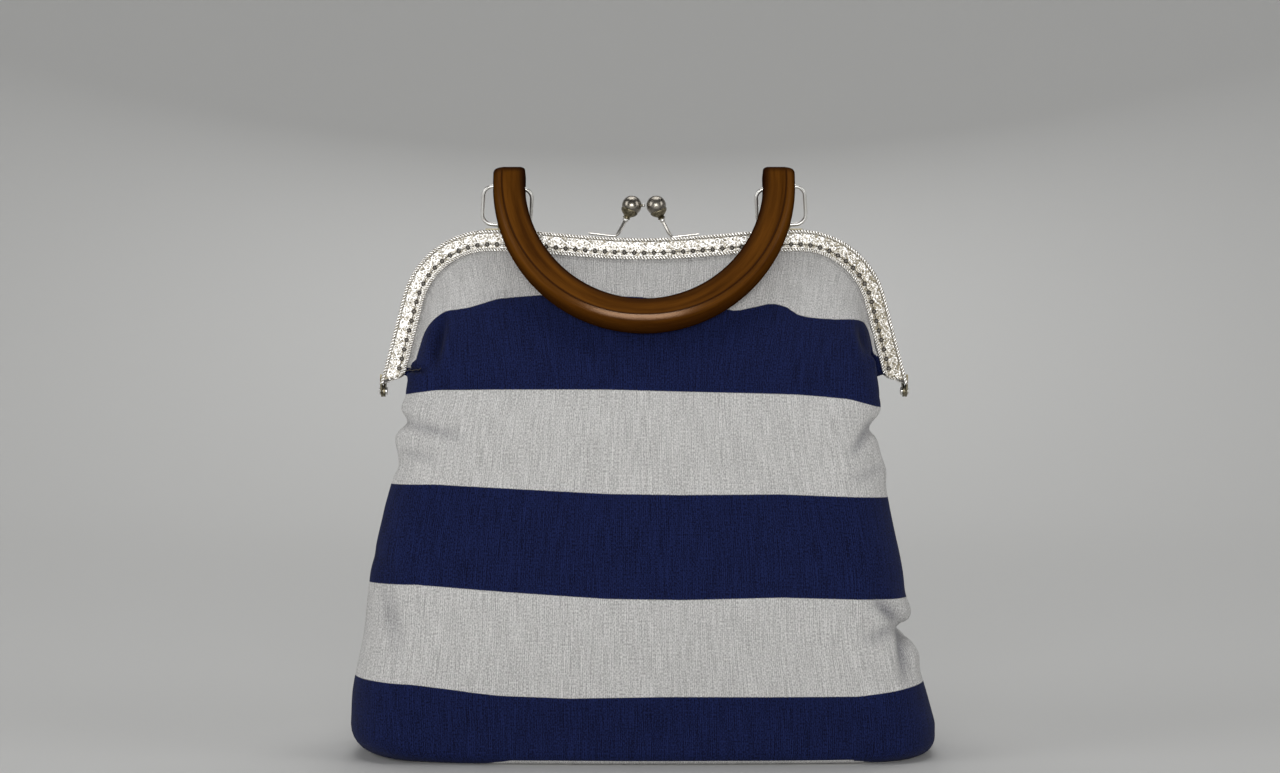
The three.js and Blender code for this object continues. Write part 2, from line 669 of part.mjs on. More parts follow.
// U-shaped handle hanging below its pivots, which lie on the local X axis
function handleGeometry() {
  const path = new THREE.CurvePath();
  const legX = HANDLE_RADIUS;
  const top = HANDLE_LEG_ABOVE;
  const start = -HANDLE_LEG_BELOW;
  path.add(new THREE.LineCurve3(new THREE.Vector3(-legX, 0, top), new THREE.Vector3(-legX, 0, start)));
  const arcSteps = 26;
  for (let k = 0; k < arcSteps; k++) {
    const [a, b] = [k, k + 1].map((step) => Math.PI * (1 + step / arcSteps));
    const from = new THREE.Vector3(legX * Math.cos(a), 0, start + legX * Math.sin(a));
    const to = new THREE.Vector3(legX * Math.cos(b), 0, start + legX * Math.sin(b));
    path.add(new THREE.LineCurve3(from, to));
  }
  path.add(new THREE.LineCurve3(new THREE.Vector3(legX, 0, start), new THREE.Vector3(legX, 0, top)));
  const [w, h, r] = [HANDLE_THICKNESS / 2, HANDLE_WIDTH / 2, HANDLE_EDGE_ROUND];
  const section = new THREE.Shape();
  section.absarc(w - r, h - r, r, 0, Math.PI / 2);
  section.absarc(-w + r, h - r, r, Math.PI / 2, Math.PI);
  section.absarc(-w + r, -h + r, r, Math.PI, 1.5 * Math.PI);
  section.absarc(w - r, -h + r, r, 1.5 * Math.PI, 2 * Math.PI);
  const wood = new THREE.ExtrudeGeometry(section, { steps: 34, extrudePath: path, curveSegments: 1 });
  let solid = solidOf(wood);
  for (const side of [-1, 1]) {
    const hole = new THREE.CylinderGeometry(HANDLE_HOLE_RADIUS, HANDLE_HOLE_RADIUS, 2 * HANDLE_WIDTH, 12);
    hole.rotateZ(Math.PI / 2);
    hole.translate(side * legX, 0, 0);
    solid = solid.subtract(solidOf(hole));
  }
  return geometryOf(solid);
}

const nickel = { color: 0xb9b7ae, roughness: 0.28, metalness: 1 };
const cloth = { color: 0x232c56, roughness: 0.9, metalness: 0 };
const wood = { color: 0x4a2710, roughness: 0.25, metalness: 0 };

function piece(name, geometry, look) {
  const mesh = new THREE.Mesh(geometry, new THREE.MeshStandardMaterial(look));
  mesh.name = name;
  return mesh;
}

const handbag = new THREE.Group();
handbag.add(
  piece("bag_shell", clothBag(), cloth),
  piece("frame_front", frameHalf(-1), nickel),
  piece("frame_back", frameHalf(1), nickel),
  piece("clasp_front", clasp(-1, -1), nickel),
  piece("clasp_back", clasp(1, 1), nickel),
  piece("hinge_rivet_left", rivet(-1), nickel),
  piece("hinge_rivet_right", rivet(1), nickel),
);

// The rings lean forward in their lugs and splay out at the foot, and the handle hangs from their upper bars
const rings = new THREE.Group();
rings.position.set(0, -LUG_DEPTH, frameTop(LUG_X) + LUG_RISE);
rings.rotation.x = RING_LEAN;
for (const [name, side] of [["ring_left", -1], ["ring_right", 1]]) {
  const ring = piece(name, wireRing(), nickel);
  ring.position.x = side * LUG_X;
  ring.rotation.y = -side * RING_SPLAY;
  rings.add(ring);
}
const handle = piece("handle", handleGeometry(), wood);
handle.position.z = RING_HEIGHT * Math.cos(RING_SPLAY);
handle.rotation.x = -RING_LEAN - HANDLE_TILT;
rings.add(handle);
handbag.add(rings);

export default handbag;
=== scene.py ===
import math
import bmesh
import bpy
import numpy as np
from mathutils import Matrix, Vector


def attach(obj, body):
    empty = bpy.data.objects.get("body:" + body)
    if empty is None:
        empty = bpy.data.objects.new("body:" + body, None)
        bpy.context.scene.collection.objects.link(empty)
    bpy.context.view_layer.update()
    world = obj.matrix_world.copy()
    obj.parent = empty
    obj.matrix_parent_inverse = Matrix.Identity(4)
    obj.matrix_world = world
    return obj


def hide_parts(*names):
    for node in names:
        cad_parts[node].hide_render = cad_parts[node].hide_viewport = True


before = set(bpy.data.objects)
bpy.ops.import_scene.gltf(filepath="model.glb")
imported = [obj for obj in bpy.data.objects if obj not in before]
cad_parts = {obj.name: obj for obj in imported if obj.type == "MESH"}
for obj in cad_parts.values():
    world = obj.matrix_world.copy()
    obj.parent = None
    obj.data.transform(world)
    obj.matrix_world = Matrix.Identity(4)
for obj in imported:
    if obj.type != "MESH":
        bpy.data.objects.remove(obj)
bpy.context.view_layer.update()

# The set: a camera at the bag's own height a metre in front of it, a round pale floor whose rim curves up all
# round, and soft boxes in front, behind, at both sides and overhead. None of it is part of the bag.
MM = 0.001
CAMERA_PLACE = (-0.002, -1.0, 0.181)
CAMERA_LENS = 56.25
CAMERA_SENSOR = 36.0
FLOOR_GREY = (0.62, 0.62, 0.61, 1.0)
FLOOR_ROUGHNESS = 0.8
FLOOR_FLAT = 1600.0
FLOOR_RIM = 2400.0
FLOOR_WALL_TOP = 3000.0
WORLD_COLOUR = (1.0, 0.99, 0.97, 1.0)
WORLD_STRENGTH = 0.05
# Soft boxes: name, place, aim, width and height in metres, and power in watts
SOFT_BOXES = [
    ("front_light", (-0.06, -1.4, 0.30), (0.0, 0.0, 0.16), 0.84, 0.32, 8.3),
    ("left_light", (-1.7, -0.7, 0.85), (0.0, 0.0, 0.2), 0.8, 1.2, 8.0),
    ("right_light", (1.7, -0.7, 0.85), (0.0, 0.0, 0.2), 0.8, 1.2, 6.1),
    ("top_light", (0.0, -0.1, 1.7), (0.0, 0.0, 0.2), 1.0, 0.5, 5.0),
    ("back_light", (0.0, 2.8, 1.6), (0.0, 0.0, 0.15), 1.4, 0.8, 13.0),
    ("wall_light", (0.0, 1.2, 3.2), (0.0, 3.0, 0.4), 3.6, 1.0, 40.0),
]

camera_data = bpy.data.cameras.new("camera")
camera_data.sensor_width = CAMERA_SENSOR
camera_data.lens = CAMERA_LENS
camera = bpy.data.objects.new("camera", camera_data)
camera.location = CAMERA_PLACE
camera.rotation_euler = (math.radians(90), 0.0, 0.0)
bpy.context.scene.collection.objects.link(camera)
bpy.context.scene.camera = camera
bpy.context.scene.view_settings.view_transform = "Standard"


def fresh_material(name):
    """An empty node material and its main shader"""
    material = bpy.data.materials.new(name)
    material.use_nodes = True
    material.node_tree.nodes.clear()
    output = material.node_tree.nodes.new("ShaderNodeOutputMaterial")
    shader = material.node_tree.nodes.new("ShaderNodeBsdfPrincipled")
    material.node_tree.links.new(shader.outputs["BSDF"], output.inputs["Surface"])
    return material, shader


def object_from(name, points, faces, materials):
    """A smooth object whose mesh is given in millimetres"""
    mesh = bpy.data.meshes.new(name)
    mesh.from_pydata((np.asarray(points, float) * MM).tolist(), [], [list(face) for face in faces])
    for material in materials:
        mesh.materials.append(material)
    mesh.polygons.foreach_set("use_smooth", [True] * len(mesh.polygons))
    mesh.update()
    made = bpy.data.objects.new(name, mesh)
    bpy.context.scene.collection.objects.link(made)
    return made


def grid_faces(rows, columns, start=0, closed=False):
    """Four-sided faces of a grid of points, the columns joined up into rings where closed"""
    r, c = np.meshgrid(np.arange(rows - 1), np.arange(columns if closed else columns - 1), indexing="ij")
    after = (c + 1) % columns
    near, far = r * columns, (r + 1) * columns
    return np.stack([near + c, near + after, far + after, far + c], -1).reshape(-1, 4) + start


floor_material, floor_shader = fresh_material("pale_floor")
floor_shader.inputs["Base Color"].default_value = FLOOR_GREY
floor_shader.inputs["Roughness"].default_value = FLOOR_ROUGHNESS
rim_turn = np.linspace(0.0, math.pi / 2, 32)
rim_reach = FLOOR_FLAT + FLOOR_RIM * np.sin(rim_turn)
floor_reach = np.concatenate([[1.0, 700.0, 1300.0], rim_reach, rim_reach[-1:]])
floor_height = np.concatenate([[0.0, 0.0, 0.0], FLOOR_RIM * (1.0 - np.cos(rim_turn)), [FLOOR_WALL_TOP]])
floor_round = np.linspace(0.0, 2 * math.pi, 96, endpoint=False)
floor_points = np.stack([
    floor_reach[:, None] * np.cos(floor_round),
    floor_reach[:, None] * np.sin(floor_round),
    np.repeat(floor_height[:, None], len(floor_round), axis=1),
], -1).reshape(-1, 3)
floor_faces = grid_faces(len(floor_reach), len(floor_round), closed=True)
floor = object_from("floor", floor_points, floor_faces, [floor_material])

for light_name, place, aim, wide, high, power in SOFT_BOXES:
    light_data = bpy.data.lights.new(light_name, "AREA")
    light_data.shape = "RECTANGLE"
    light_data.size = wide
    light_data.size_y = high
    light_data.energy = power
    light = bpy.data.objects.new(light_name, light_data)
    light.location = place
    light.rotation_euler = (Vector(aim) - Vector(place)).to_track_quat("-Z", "Y").to_euler()
    light.visible_camera = False
    light.visible_glossy = light_name != "back_light"
    bpy.context.scene.collection.objects.link(light)
world = bpy.data.worlds.new("studio")
world.use_nodes = True
world.node_tree.nodes["Background"].inputs["Color"].default_value = WORLD_COLOUR
world.node_tree.nodes["Background"].inputs["Strength"].default_value = WORLD_STRENGTH
bpy.context.scene.world = world

# The purse frame's arch: a wide top with a shallow dip, two round shoulders and two legs that lean outwards.
# Both stamped halves, the cloth's gathered top edge and the row of stitches follow this one line.
FRAME_TOP = 259.0
FRAME_DIP = 4.2
SHOULDER_X = 77.0
SHOULDER_RADIUS = 44.5
LEG_LEAN = math.radians(14.4)
LEG_END = 184.0
SHOULDER_SWEEP = math.pi / 2 - LEG_LEAN
SHOULDER_LENGTH = SHOULDER_RADIUS * SHOULDER_SWEEP
LEG_START = FRAME_TOP - SHOULDER_RADIUS * (1 - math.sin(LEG_LEAN))
LEG_LENGTH = (LEG_START - LEG_END) / math.cos(LEG_LEAN)
ARCH_HALF = SHOULDER_X + SHOULDER_LENGTH + LEG_LENGTH


def frame_top(x):
    """Height of the frame's top edge between its shoulders"""
    return FRAME_TOP - FRAME_DIP / 2 * (1 + np.cos(np.pi * x / SHOULDER_X))


def arch_at(run, inset):
    """Points of the arch at a run from its middle, an inset from the outer edge, and the way inwards"""
    run, inset = np.broadcast_arrays(np.asarray(run, float), np.asarray(inset, float))
    side = np.where(run < 0, -1.0, 1.0)
    along = np.abs(run)
    slope = FRAME_DIP * np.pi / (2 * SHOULDER_X) * np.sin(np.pi * along / SHOULDER_X)
    turn = np.clip((along - SHOULDER_X) / SHOULDER_RADIUS, 0, SHOULDER_SWEEP)
    leg = np.maximum(along - SHOULDER_X - SHOULDER_LENGTH, 0)
    on_top = along <= SHOULDER_X
    in_x = np.where(on_top, slope / np.hypot(slope, 1), -np.sin(turn))
    in_z = np.where(on_top, -1 / np.hypot(slope, 1), -np.cos(turn))
    x_round = SHOULDER_X + SHOULDER_RADIUS * np.sin(turn) + leg * math.sin(LEG_LEAN)
    z_round = FRAME_TOP - SHOULDER_RADIUS * (1 - np.cos(turn)) - leg * math.cos(LEG_LEAN)
    x = np.where(on_top, along, x_round)
    z = np.where(on_top, frame_top(along), z_round)
    point = np.stack([side * (x + in_x * inset), np.zeros_like(x), z + in_z * inset], -1)
    inward = np.stack([side * in_x, np.zeros_like(x), in_z], -1)
    return point, inward


# The bag: one length of plain linen-cotton, woven in wide navy and off-white stripes, folded at the base and
# sewn up at both sides. Its top edge is gathered into the frame, and the sides buckle where the bag slumps.
CLOTH = 1.5
CLOTH_DEPTH = 4.2
CLOTH_EDGE_INSETS = (8.5, 5.5, 2.5)
CLOTH_MOUTH_INSET = 11.2
CLOTH_REACH = 0.968
HALF_PANEL = 165.0
SLIT_Z = 176.0
BASE_ROUND = {"front": 6.0, "left": 15.0, "right": 9.0}
BASE_CROWN = 0.8
TUCK_START = 0.8
THROAT_DRAWN_IN = 0.1
THROAT_BELLY = 0.13
THROAT_RISE = 0.3
HALF_COLUMNS = 65
BASE_ROWS = 9
WALL_ROWS = 105
THROAT_ROWS = 41
SLACK = 0.16
# Waves of the slack: share, length across, length up and start
SLACK_WAVES = [(1.0, 23.0, 61.0, 0.7), (0.7, 11.5, -47.0, 2.1), (0.6, 39.0, 17.0, 0.0)]
PUCKER = 0.1
GATHER = 1.15
GATHER_ROWS = (0.62, 0.97)
SEAM_SINK = 0.7
SEAM_WIDTH = 1.6
DEEPEST_CREASE = 2.6
RIDGE_AWAY = 2.2
RIDGE_WIDTH = 1.3
RIDGE_SHARE = 0.4
STILL_ROWS = (2, 10)
STRIPE_WIDTH = 50.0
STRIPE_EVENED = 13
SIDE_EVENED = 9
SIDE_COLUMNS = (0.77, 0.83)
BACK_THREADS_AWAY = 500.0
# Level sections: height, half widths left and right, depth, crown, corner, tuck of the seam
BAG_SECTIONS = np.array([
    (16, 144.3, 143.2, 42, 6, 30, 0),
    (34, 143.4, 138.4, 44, 7, 30, 1),
    (62, 138.6, 130.5, 44.5, 9, 30, 4),
    (90, 135.4, 128.4, 44.5, 9.5, 28, 8),
    (120, 129.4, 122.2, 43.5, 10, 26, 13),
    (140, 124.4, 118.6, 41.5, 10.5, 24, 18),
    (160, 121.4, 115.4, 38.5, 11.5, 20, 20),
    (176, 118.4, 116.4, 34, 12, 17, 12),
], float)
# Soft folds by the seams: side, height, place round the half panel, spread up, spread round, how far out
BAG_FOLDS = [
    (-1, 171, 0.90, 4.0, 0.12, 2.0),
    (-1, 164, 0.86, 4.0, 0.12, -3.0),
    (-1, 156, 0.90, 4.5, 0.12, 2.2),
    (-1, 143, 0.86, 5.0, 0.12, -2.2),
    (1, 171, 0.90, 4.5, 0.12, 2.0),
    (1, 160, 0.86, 5.0, 0.13, -4.0),
    (1, 141, 0.90, 5.0, 0.12, 2.6),
    (1, 72, 0.88, 6.0, 0.12, 2.4),
    (1, 62, 0.86, 4.5, 0.10, -5.0),
    (1, 50, 0.88, 5.0, 0.12, 2.0),
]
# Sharper creases seen from the front: from x, z to x, z, width and depth
BAG_CREASES = [
    (-118, 164, -88, 157, 2.6, 1.3),
    (-117, 150, -100, 146, 2.4, 0.8),
    (-98, 214, -101, 192, 2.2, 2.6),
    (106, 210.5, 109, 198, 2.6, 2.2),
    (-117.5, 189.3, -106, 188.6, 1.1, 3.4),
    (112.2, 197, 114.5, 191, 1.1, 2.8),
    (-50, 229, -86, 222.5, 3.0, 0.5),
    (111, 164, 100, 149, 2.4, 1.6),
    (116, 142, 100, 136, 2.8, 0.8),
    (124, 66.5, 110, 80, 2.8, 2.3),
    (123, 66.5, 126, 40, 2.8, 2.1),
    (122, 66, 106, 60, 3.2, 1.1),
    (-132, 100, -118, 92, 3.5, 0.6),
    (-124, 85, -118, 54, 4.5, 0.9),
]
# Stripe edges from the base up: pairs of x and height, as they lie on the bag
STRIPE_EDGES = [
    [(-144, 0.2), (-75, 0.2), (-65, 2.2), (98, 2.2), (110, 0.2), (144, 0.2)],
    [(-142, 40.2), (-109, 38.7), (-72, 34.1), (-36, 32.6), (10, 33.7), (56, 33.2), (102, 33.0), (135, 37.0)],
    [(-134, 86.2), (-109, 86.6), (-72, 83.9), (-17, 80.4), (19, 79.9), (65, 80.8), (128, 78.6)],
    [(-123, 133.9), (-100, 134.3), (-72, 132.9), (-17, 130.1), (19, 129.6), (65, 129.8), (118, 127.4)],
    [(-116, 177.4), (-100, 179.2), (-72, 179.5), (-17, 179.5), (38, 178.1), (74, 177.2), (98, 175.0),
     (113, 171.0)],
    [(-120, 189.6), (-111.4, 190.0), (-110.3, 196.0), (-109.7, 202.0), (-107.5, 207.7), (-105, 210.8),
     (-101.5, 214.9), (-98.5, 217.3), (-92, 218.4), (-85, 219.5), (-71, 224.2), (-51, 225.7), (-2, 224.9),
     (45, 217.5), (62, 221.4), (69, 219.9), (74.2, 215.8), (80, 214.4), (91.7, 213.6), (105.5, 213.6),
     (109, 212.6), (110.8, 210.6), (111.7, 206.5), (112.1, 202.5), (112.5, 198), (112.8, 195.4),
     (120, 195.0)],
]


def smooth_step(value, low, high):
    t = np.clip((value - low) / (high - low), 0, 1)
    return t * t * (3 - 2 * t)


def bag_section(z):
    """Values of the table of level sections at the heights z, with a smooth run between its rows"""
    heights = BAG_SECTIONS[:, 0]
    upper = np.clip(np.searchsorted(heights, z), 1, len(heights) - 1)
    lower = upper - 1
    before = np.maximum(lower - 1, 0)
    after = np.minimum(upper + 1, len(heights) - 1)
    span = heights[upper] - heights[lower]
    t = np.clip((z - heights[lower]) / span, 0, 1)
    values = []
    for column in BAG_SECTIONS[:, 1:].T:
        slope_in = (column[upper] - column[before]) / (heights[upper] - heights[before]) * span
        slope_out = (column[after] - column[lower]) / (heights[after] - heights[lower]) * span
        values.append(
            column[lower] * (2 * t**3 - 3 * t**2 + 1)
            + column[upper] * (3 * t**2 - 2 * t**3)
            + slope_in * (t**3 - 2 * t**2 + t)
            + slope_out * (t**3 - t**2))
    return values


def wall_at(u, z, shrink, crown_share):
    """Front wall below the frame: u is the place round the panel, -1 and 1 at the side seams"""
    left, right, depth, crown, corner, tuck = bag_section(z)
    side = np.where(u < 0, -1.0, 1.0)
    corner = corner - shrink / 2
    width = np.where(u < 0, left, right) - shrink
    depth = depth - shrink
    front = width - corner
    arc = corner * np.pi / 2
    run = np.abs(u) * (front + arc + depth - corner)
    angle = np.clip((run - front) / corner, 0, np.pi / 2)
    x = np.where(run <= front, run, front + corner * np.sin(angle))
    y = -depth + corner * (1 - np.cos(angle)) + np.maximum(run - front - arc, 0)
    across = x / width
    y = y - crown * crown_share * np.maximum(1 - across**2, 0)
    x = x - tuck * smooth_step(np.abs(u), TUCK_START, 1)
    fold = np.zeros_like(x)
    for fold_side, height, around, high, wide, out in BAG_FOLDS:
        bump = out * np.exp(-((np.abs(u) - around) / wide) ** 2 - ((z - height) / high) ** 2)
        fold = fold + np.where(fold_side * u > 0, bump, 0)
    sideways = np.abs(across) ** 3
    x = x + fold * sideways
    y = y - fold * (1 - sideways)
    y = np.where(np.abs(u) >= 1, 0.0, y)
    return np.stack([x * side, y, z], -1)


def curve_between(start, start_pull, end_pull, end, t):
    """Points of a smooth curve from a start to an end, drawn towards a pull point at each"""
    pulls = 3 * start_pull * t * (1 - t) ** 2 + 3 * end_pull * t**2 * (1 - t)
    return start * (1 - t) ** 3 + pulls + end * t**3


def throat_at(u, share):
    """The gathered throat, from the top of the side slits up to the frame's lower edge"""
    low = wall_at(u, np.full_like(u, SLIT_Z), 0.0, 1.0)
    high, inward = arch_at(u * CLOTH_REACH * ARCH_HALF, CLOTH_MOUTH_INSET)
    high[..., 1] = -CLOTH_DEPTH
    span = np.linalg.norm(high - low, axis=-1)
    low_pull = low.copy()
    low_pull[..., 2] += THROAT_RISE * span
    high_pull = high + inward * (THROAT_DRAWN_IN * span)[..., None]
    high_pull[..., 1] -= THROAT_BELLY * span * (1 - np.abs(u) ** 6)
    return curve_between(low, low_pull, high_pull, high, share)


# Columns lie closest at the corners, and rows run from the base over the wall and throat into the channel
half_columns = np.interp(np.linspace(0, 1, HALF_COLUMNS), [0, 0.42, 1], [0, 0.56, 1])
columns = np.concatenate([-half_columns[:0:-1], half_columns])
base_end = np.where(columns < 0, BASE_ROUND["left"], BASE_ROUND["right"])
base_round = BASE_ROUND["front"] + (base_end - BASE_ROUND["front"]) * smooth_step(np.abs(columns), 0.5, 0.9)
panel_rows = []
for step in np.linspace(0, 1, BASE_ROWS):
    turn = math.pi / 2 * step
    crown_share = BASE_CROWN + (1 - BASE_CROWN) * step
    row = wall_at(columns, base_round, base_round * (1 - math.sin(turn)), crown_share)
    row[:, 2] = base_round * (1 - math.cos(turn))
    panel_rows.append(row)
for share in np.linspace(0, 1, WALL_ROWS)[1:]:
    wall_z = base_round + share * (SLIT_Z - base_round)
    panel_rows.append(wall_at(columns, wall_z, np.zeros_like(columns), 1.0))
slit_row = len(panel_rows) - 1
for share in np.linspace(0, 1, THROAT_ROWS)[1:]:
    panel_rows.append(throat_at(columns, share))
mouth_row = len(panel_rows) - 1
for inset in CLOTH_EDGE_INSETS:
    row, _ = arch_at(columns * CLOTH_REACH * ARCH_HALF, inset)
    row[:, 1] = -CLOTH_DEPTH
    panel_rows.append(row)
panel = np.array(panel_rows)
rows_count, columns_count = panel.shape[:2]

# Creases, the slack of the cloth and the puckers at the stitches are pressed in along the wall's own normal
normal = np.cross(np.gradient(panel, axis=1), np.gradient(panel, axis=0))
normal /= np.maximum(np.linalg.norm(normal, axis=-1, keepdims=True), 1e-9)
height = panel[..., 2]
place_x = panel[..., 0]
press = np.zeros((rows_count, columns_count))
fold_shade = np.zeros((rows_count, columns_count))
for x0, z0, x1, z1, wide, deep in BAG_CREASES:
    length = (x1 - x0) ** 2 + (z1 - z0) ** 2
    along = ((place_x - x0) * (x1 - x0) + (height - z0) * (z1 - z0)) / length
    held = np.clip(along, 0, 1)
    away = np.hypot(place_x - x0 - held * (x1 - x0), height - z0 - held * (z1 - z0))
    fade = np.clip(np.sin(np.pi * (0.12 + 0.76 * held)), 0, 1)
    dent = np.exp(-(away / wide) ** 2)
    ridge = np.exp(-((away - RIDGE_AWAY * wide) / (RIDGE_WIDTH * wide)) ** 2)
    press -= deep * fade * (dent - RIDGE_SHARE * ridge)
    fold_shade = np.maximum(fold_shade, np.clip(deep / DEEPEST_CREASE, 0, 1) * fade * dent)
slack = np.zeros((rows_count, columns_count))
for share, length_across, length_up, start in SLACK_WAVES:
    slack += share * np.sin(place_x / length_across + height / length_up + start)
press += SLACK * slack
row_index = np.arange(rows_count)[:, None]
to_mouth = np.clip((row_index - slit_row) / (mouth_row - slit_row), 0, 1)
run_round = columns[None, :] * HALF_PANEL
from_seam = HALF_PANEL - np.abs(run_round)
gathers = np.sin(run_round / GATHER) + 0.5 * np.sin(run_round / (2 * GATHER) + 1.0)
press += PUCKER * gathers * smooth_step(to_mouth, *GATHER_ROWS)
press -= SEAM_SINK * np.exp(-(from_seam / SEAM_WIDTH) ** 2)
free_to_move = (row_index <= mouth_row) * smooth_step(row_index, *STILL_ROWS)
front_panel = panel + normal * (press * free_to_move)[..., None]
front_panel[: slit_row + 1, [0, -1], 1] = 0.0
front_panel[..., 2] = np.maximum(front_panel[..., 2], 0.0)


def evened(values, width):
    """Values with a soft run, each a mean of its neighbours"""
    weights = np.hanning(width)
    return np.convolve(np.pad(values, width // 2, mode="edge"), weights / weights.sum(), mode="valid")


# Where the stripes fall, and how far a thread has run round and up the cloth
edge_x = np.arange(-160.0, 160.5, 0.5)
each_column = np.arange(columns_count)
edge_heights = []
for edge in STRIPE_EDGES:
    edge_z = evened(np.interp(edge_x, [x for x, _ in edge], [z for _, z in edge]), STRIPE_EVENED)
    above = height - np.interp(place_x, edge_x, edge_z)
    upper = np.maximum(np.argmax(above >= 0, axis=0), 1)
    before, after = above[upper - 1, each_column], above[upper, each_column]
    share = np.clip(before / (before - after), 0, 1)
    low, high = height[upper - 1, each_column], height[upper, each_column]
    reached = (above >= 0).any(axis=0)
    crossing = np.where(reached, low + share * (high - low), height[-1] - above[-1])
    # Round the sides, where a front view says little, the edge keeps to a soft line
    to_side = smooth_step(np.abs(columns), *SIDE_COLUMNS)
    crossing = crossing + (evened(crossing, SIDE_EVENED) - crossing) * to_side
    edge_heights.append(np.broadcast_to(crossing, height.shape))
stripe = np.zeros((rows_count, columns_count))
for k, (low, high) in enumerate(zip(edge_heights, edge_heights[1:])):
    stripe = np.where(height >= low, k + (height - low) / (high - low), stripe)
above_last = height - edge_heights[-1]
below_first = height - edge_heights[0]
stripe = np.where(above_last >= 0, len(STRIPE_EDGES) - 1 + above_last / STRIPE_WIDTH, stripe)
stripe = np.where(below_first < 0, below_first / STRIPE_WIDTH - 0.02, stripe)
step_up = np.linalg.norm(np.diff(panel, axis=0), axis=-1)
run_up = np.concatenate([np.zeros((1, columns_count)), np.cumsum(step_up, axis=0)])
front_run = np.stack([np.repeat(run_round, rows_count, axis=0), run_up, stripe], -1)

# The back panel is the front one turned about: both share their seams up to the slits, and the base
count = rows_count * columns_count
bag_points = np.concatenate([front_panel.reshape(-1, 3), (front_panel * (1, -1, 1)).reshape(-1, 3)])
back_run = front_run * (-1, 1, 1) + (BACK_THREADS_AWAY, 0, 0)
bag_run = np.concatenate([front_run.reshape(-1, 3), back_run.reshape(-1, 3)])
back_faces = grid_faces(rows_count, columns_count, count)[:, ::-1]
base_corners = np.arange(columns_count - 1)
base_faces = np.stack([base_corners, count + base_corners, count + base_corners + 1, base_corners + 1], -1)
bag_faces = np.concatenate([grid_faces(rows_count, columns_count), back_faces, base_faces])


class Paint:
    """A node material, with short ways of adding to its main shader"""

    def __init__(self, name):
        self.material, self.shader = fresh_material(name)

    def node(self, kind, **settings):
        """A new node, with its settings"""
        node = self.material.node_tree.nodes.new(kind)
        for key, value in settings.items():
            setattr(node, key, value)
        return node

    def feed(self, socket, value):
        """Sets a socket to a number or colour, or links another socket into it"""
        if isinstance(value, bpy.types.NodeSocket):
            self.material.node_tree.links.new(value, socket)
        else:
            socket.default_value = value

    def dress(self, values):
        """Sets or links the shader's own sockets by name"""
        for name, value in values.items():
            self.feed(self.shader.inputs[name], value)

    def number(self, name):
        """A number that is kept on the points of the mesh"""
        return self.node("ShaderNodeAttribute", attribute_name=name).outputs["Fac"]

    def vector(self, name):
        """The three parts of a vector that is kept on the points of the mesh"""
        split = self.node("ShaderNodeSeparateXYZ")
        kept = self.node("ShaderNodeAttribute", attribute_name=name)
        self.feed(split.inputs["Vector"], kept.outputs["Vector"])
        return split.outputs

    def math(self, operation, *values):
        """Output of a Math node"""
        node = self.node("ShaderNodeMath", operation=operation)
        for socket, value in zip(node.inputs, values):
            self.feed(socket, value)
        return node.outputs["Value"]

    def weighted(self, *pairs):
        """Sum of sockets, each taken with its weight"""
        total = self.math("MULTIPLY", *pairs[-1])
        for socket, weight in pairs[-2::-1]:
            total = self.math("MULTIPLY_ADD", socket, weight, total)
        return total

    def blend(self, share, first, second, kind="MIX"):
        """Colour between two others, by a share from 0 to 1"""
        node = self.node("ShaderNodeMix", data_type="RGBA", blend_type=kind)
        self.feed(node.inputs["Factor"], share)
        self.feed(node.inputs[6], first)
        self.feed(node.inputs[7], second)
        return node.outputs[2]

    def spread(self, value, low, high, new_low=0.0, new_high=1.0, smooth=False):
        """Output of a Map Range node"""
        node = self.node("ShaderNodeMapRange", interpolation_type="SMOOTHSTEP" if smooth else "LINEAR")
        names = ("Value", "From Min", "From Max", "To Min", "To Max")
        for name, number in zip(names, (value, low, high, new_low, new_high)):
            self.feed(node.inputs[name], number)
        return node.outputs["Result"]

    def noise(self, x, y, z, detail):
        """Noise read at three numbers, about 0.5 in the middle"""
        place = self.node("ShaderNodeCombineXYZ")
        for socket, value in zip(place.inputs, (x, y, z)):
            self.feed(socket, value)
        return self.speckle(1.0, detail, place.outputs["Vector"])

    def speckle(self, scale, detail=2.0, place=None):
        """Noise read at a place, or else at the point of the object itself"""
        if place is None:
            place = self.node("ShaderNodeTexCoord").outputs["Object"]
        node = self.node("ShaderNodeTexNoise")
        self.feed(node.inputs["Vector"], place)
        node.inputs["Scale"].default_value = scale
        node.inputs["Detail"].default_value = detail
        return node.outputs["Fac"]

    def bump(self, height, strength, distance):
        """Raises the surface a little by a height"""
        node = self.node("ShaderNodeBump")
        node.inputs["Strength"].default_value = strength
        node.inputs["Distance"].default_value = distance
        self.feed(node.inputs["Height"], height)
        self.dress({"Normal": node.outputs["Normal"]})


OFF_WHITE_LIGHT = (0.78, 0.77, 0.755, 1.0)
OFF_WHITE_DARK = (0.37, 0.365, 0.36, 1.0)
NAVY_LIGHT = (0.0125, 0.021, 0.095, 1.0)
NAVY_DARK = (0.0022, 0.0032, 0.018, 1.0)
FOLD_SHADE = (0.42, 0.42, 0.46, 1.0)
THREAD_TURN = 2 * math.pi / 0.95
THREAD_STEP = 0.9
STEP_DRIFT = 9.0
WARP_SLUB = (0.4, 14.0)
WEFT_SLUB = (9.0, 0.6)
PINHOLE_WIDTH = 0.5
SLUB_TONES = (0.38, 0.62)
WEAVE_SHARE = 0.28
THREAD_WANDER = 2.5
STRIPE_BLUR = 0.012

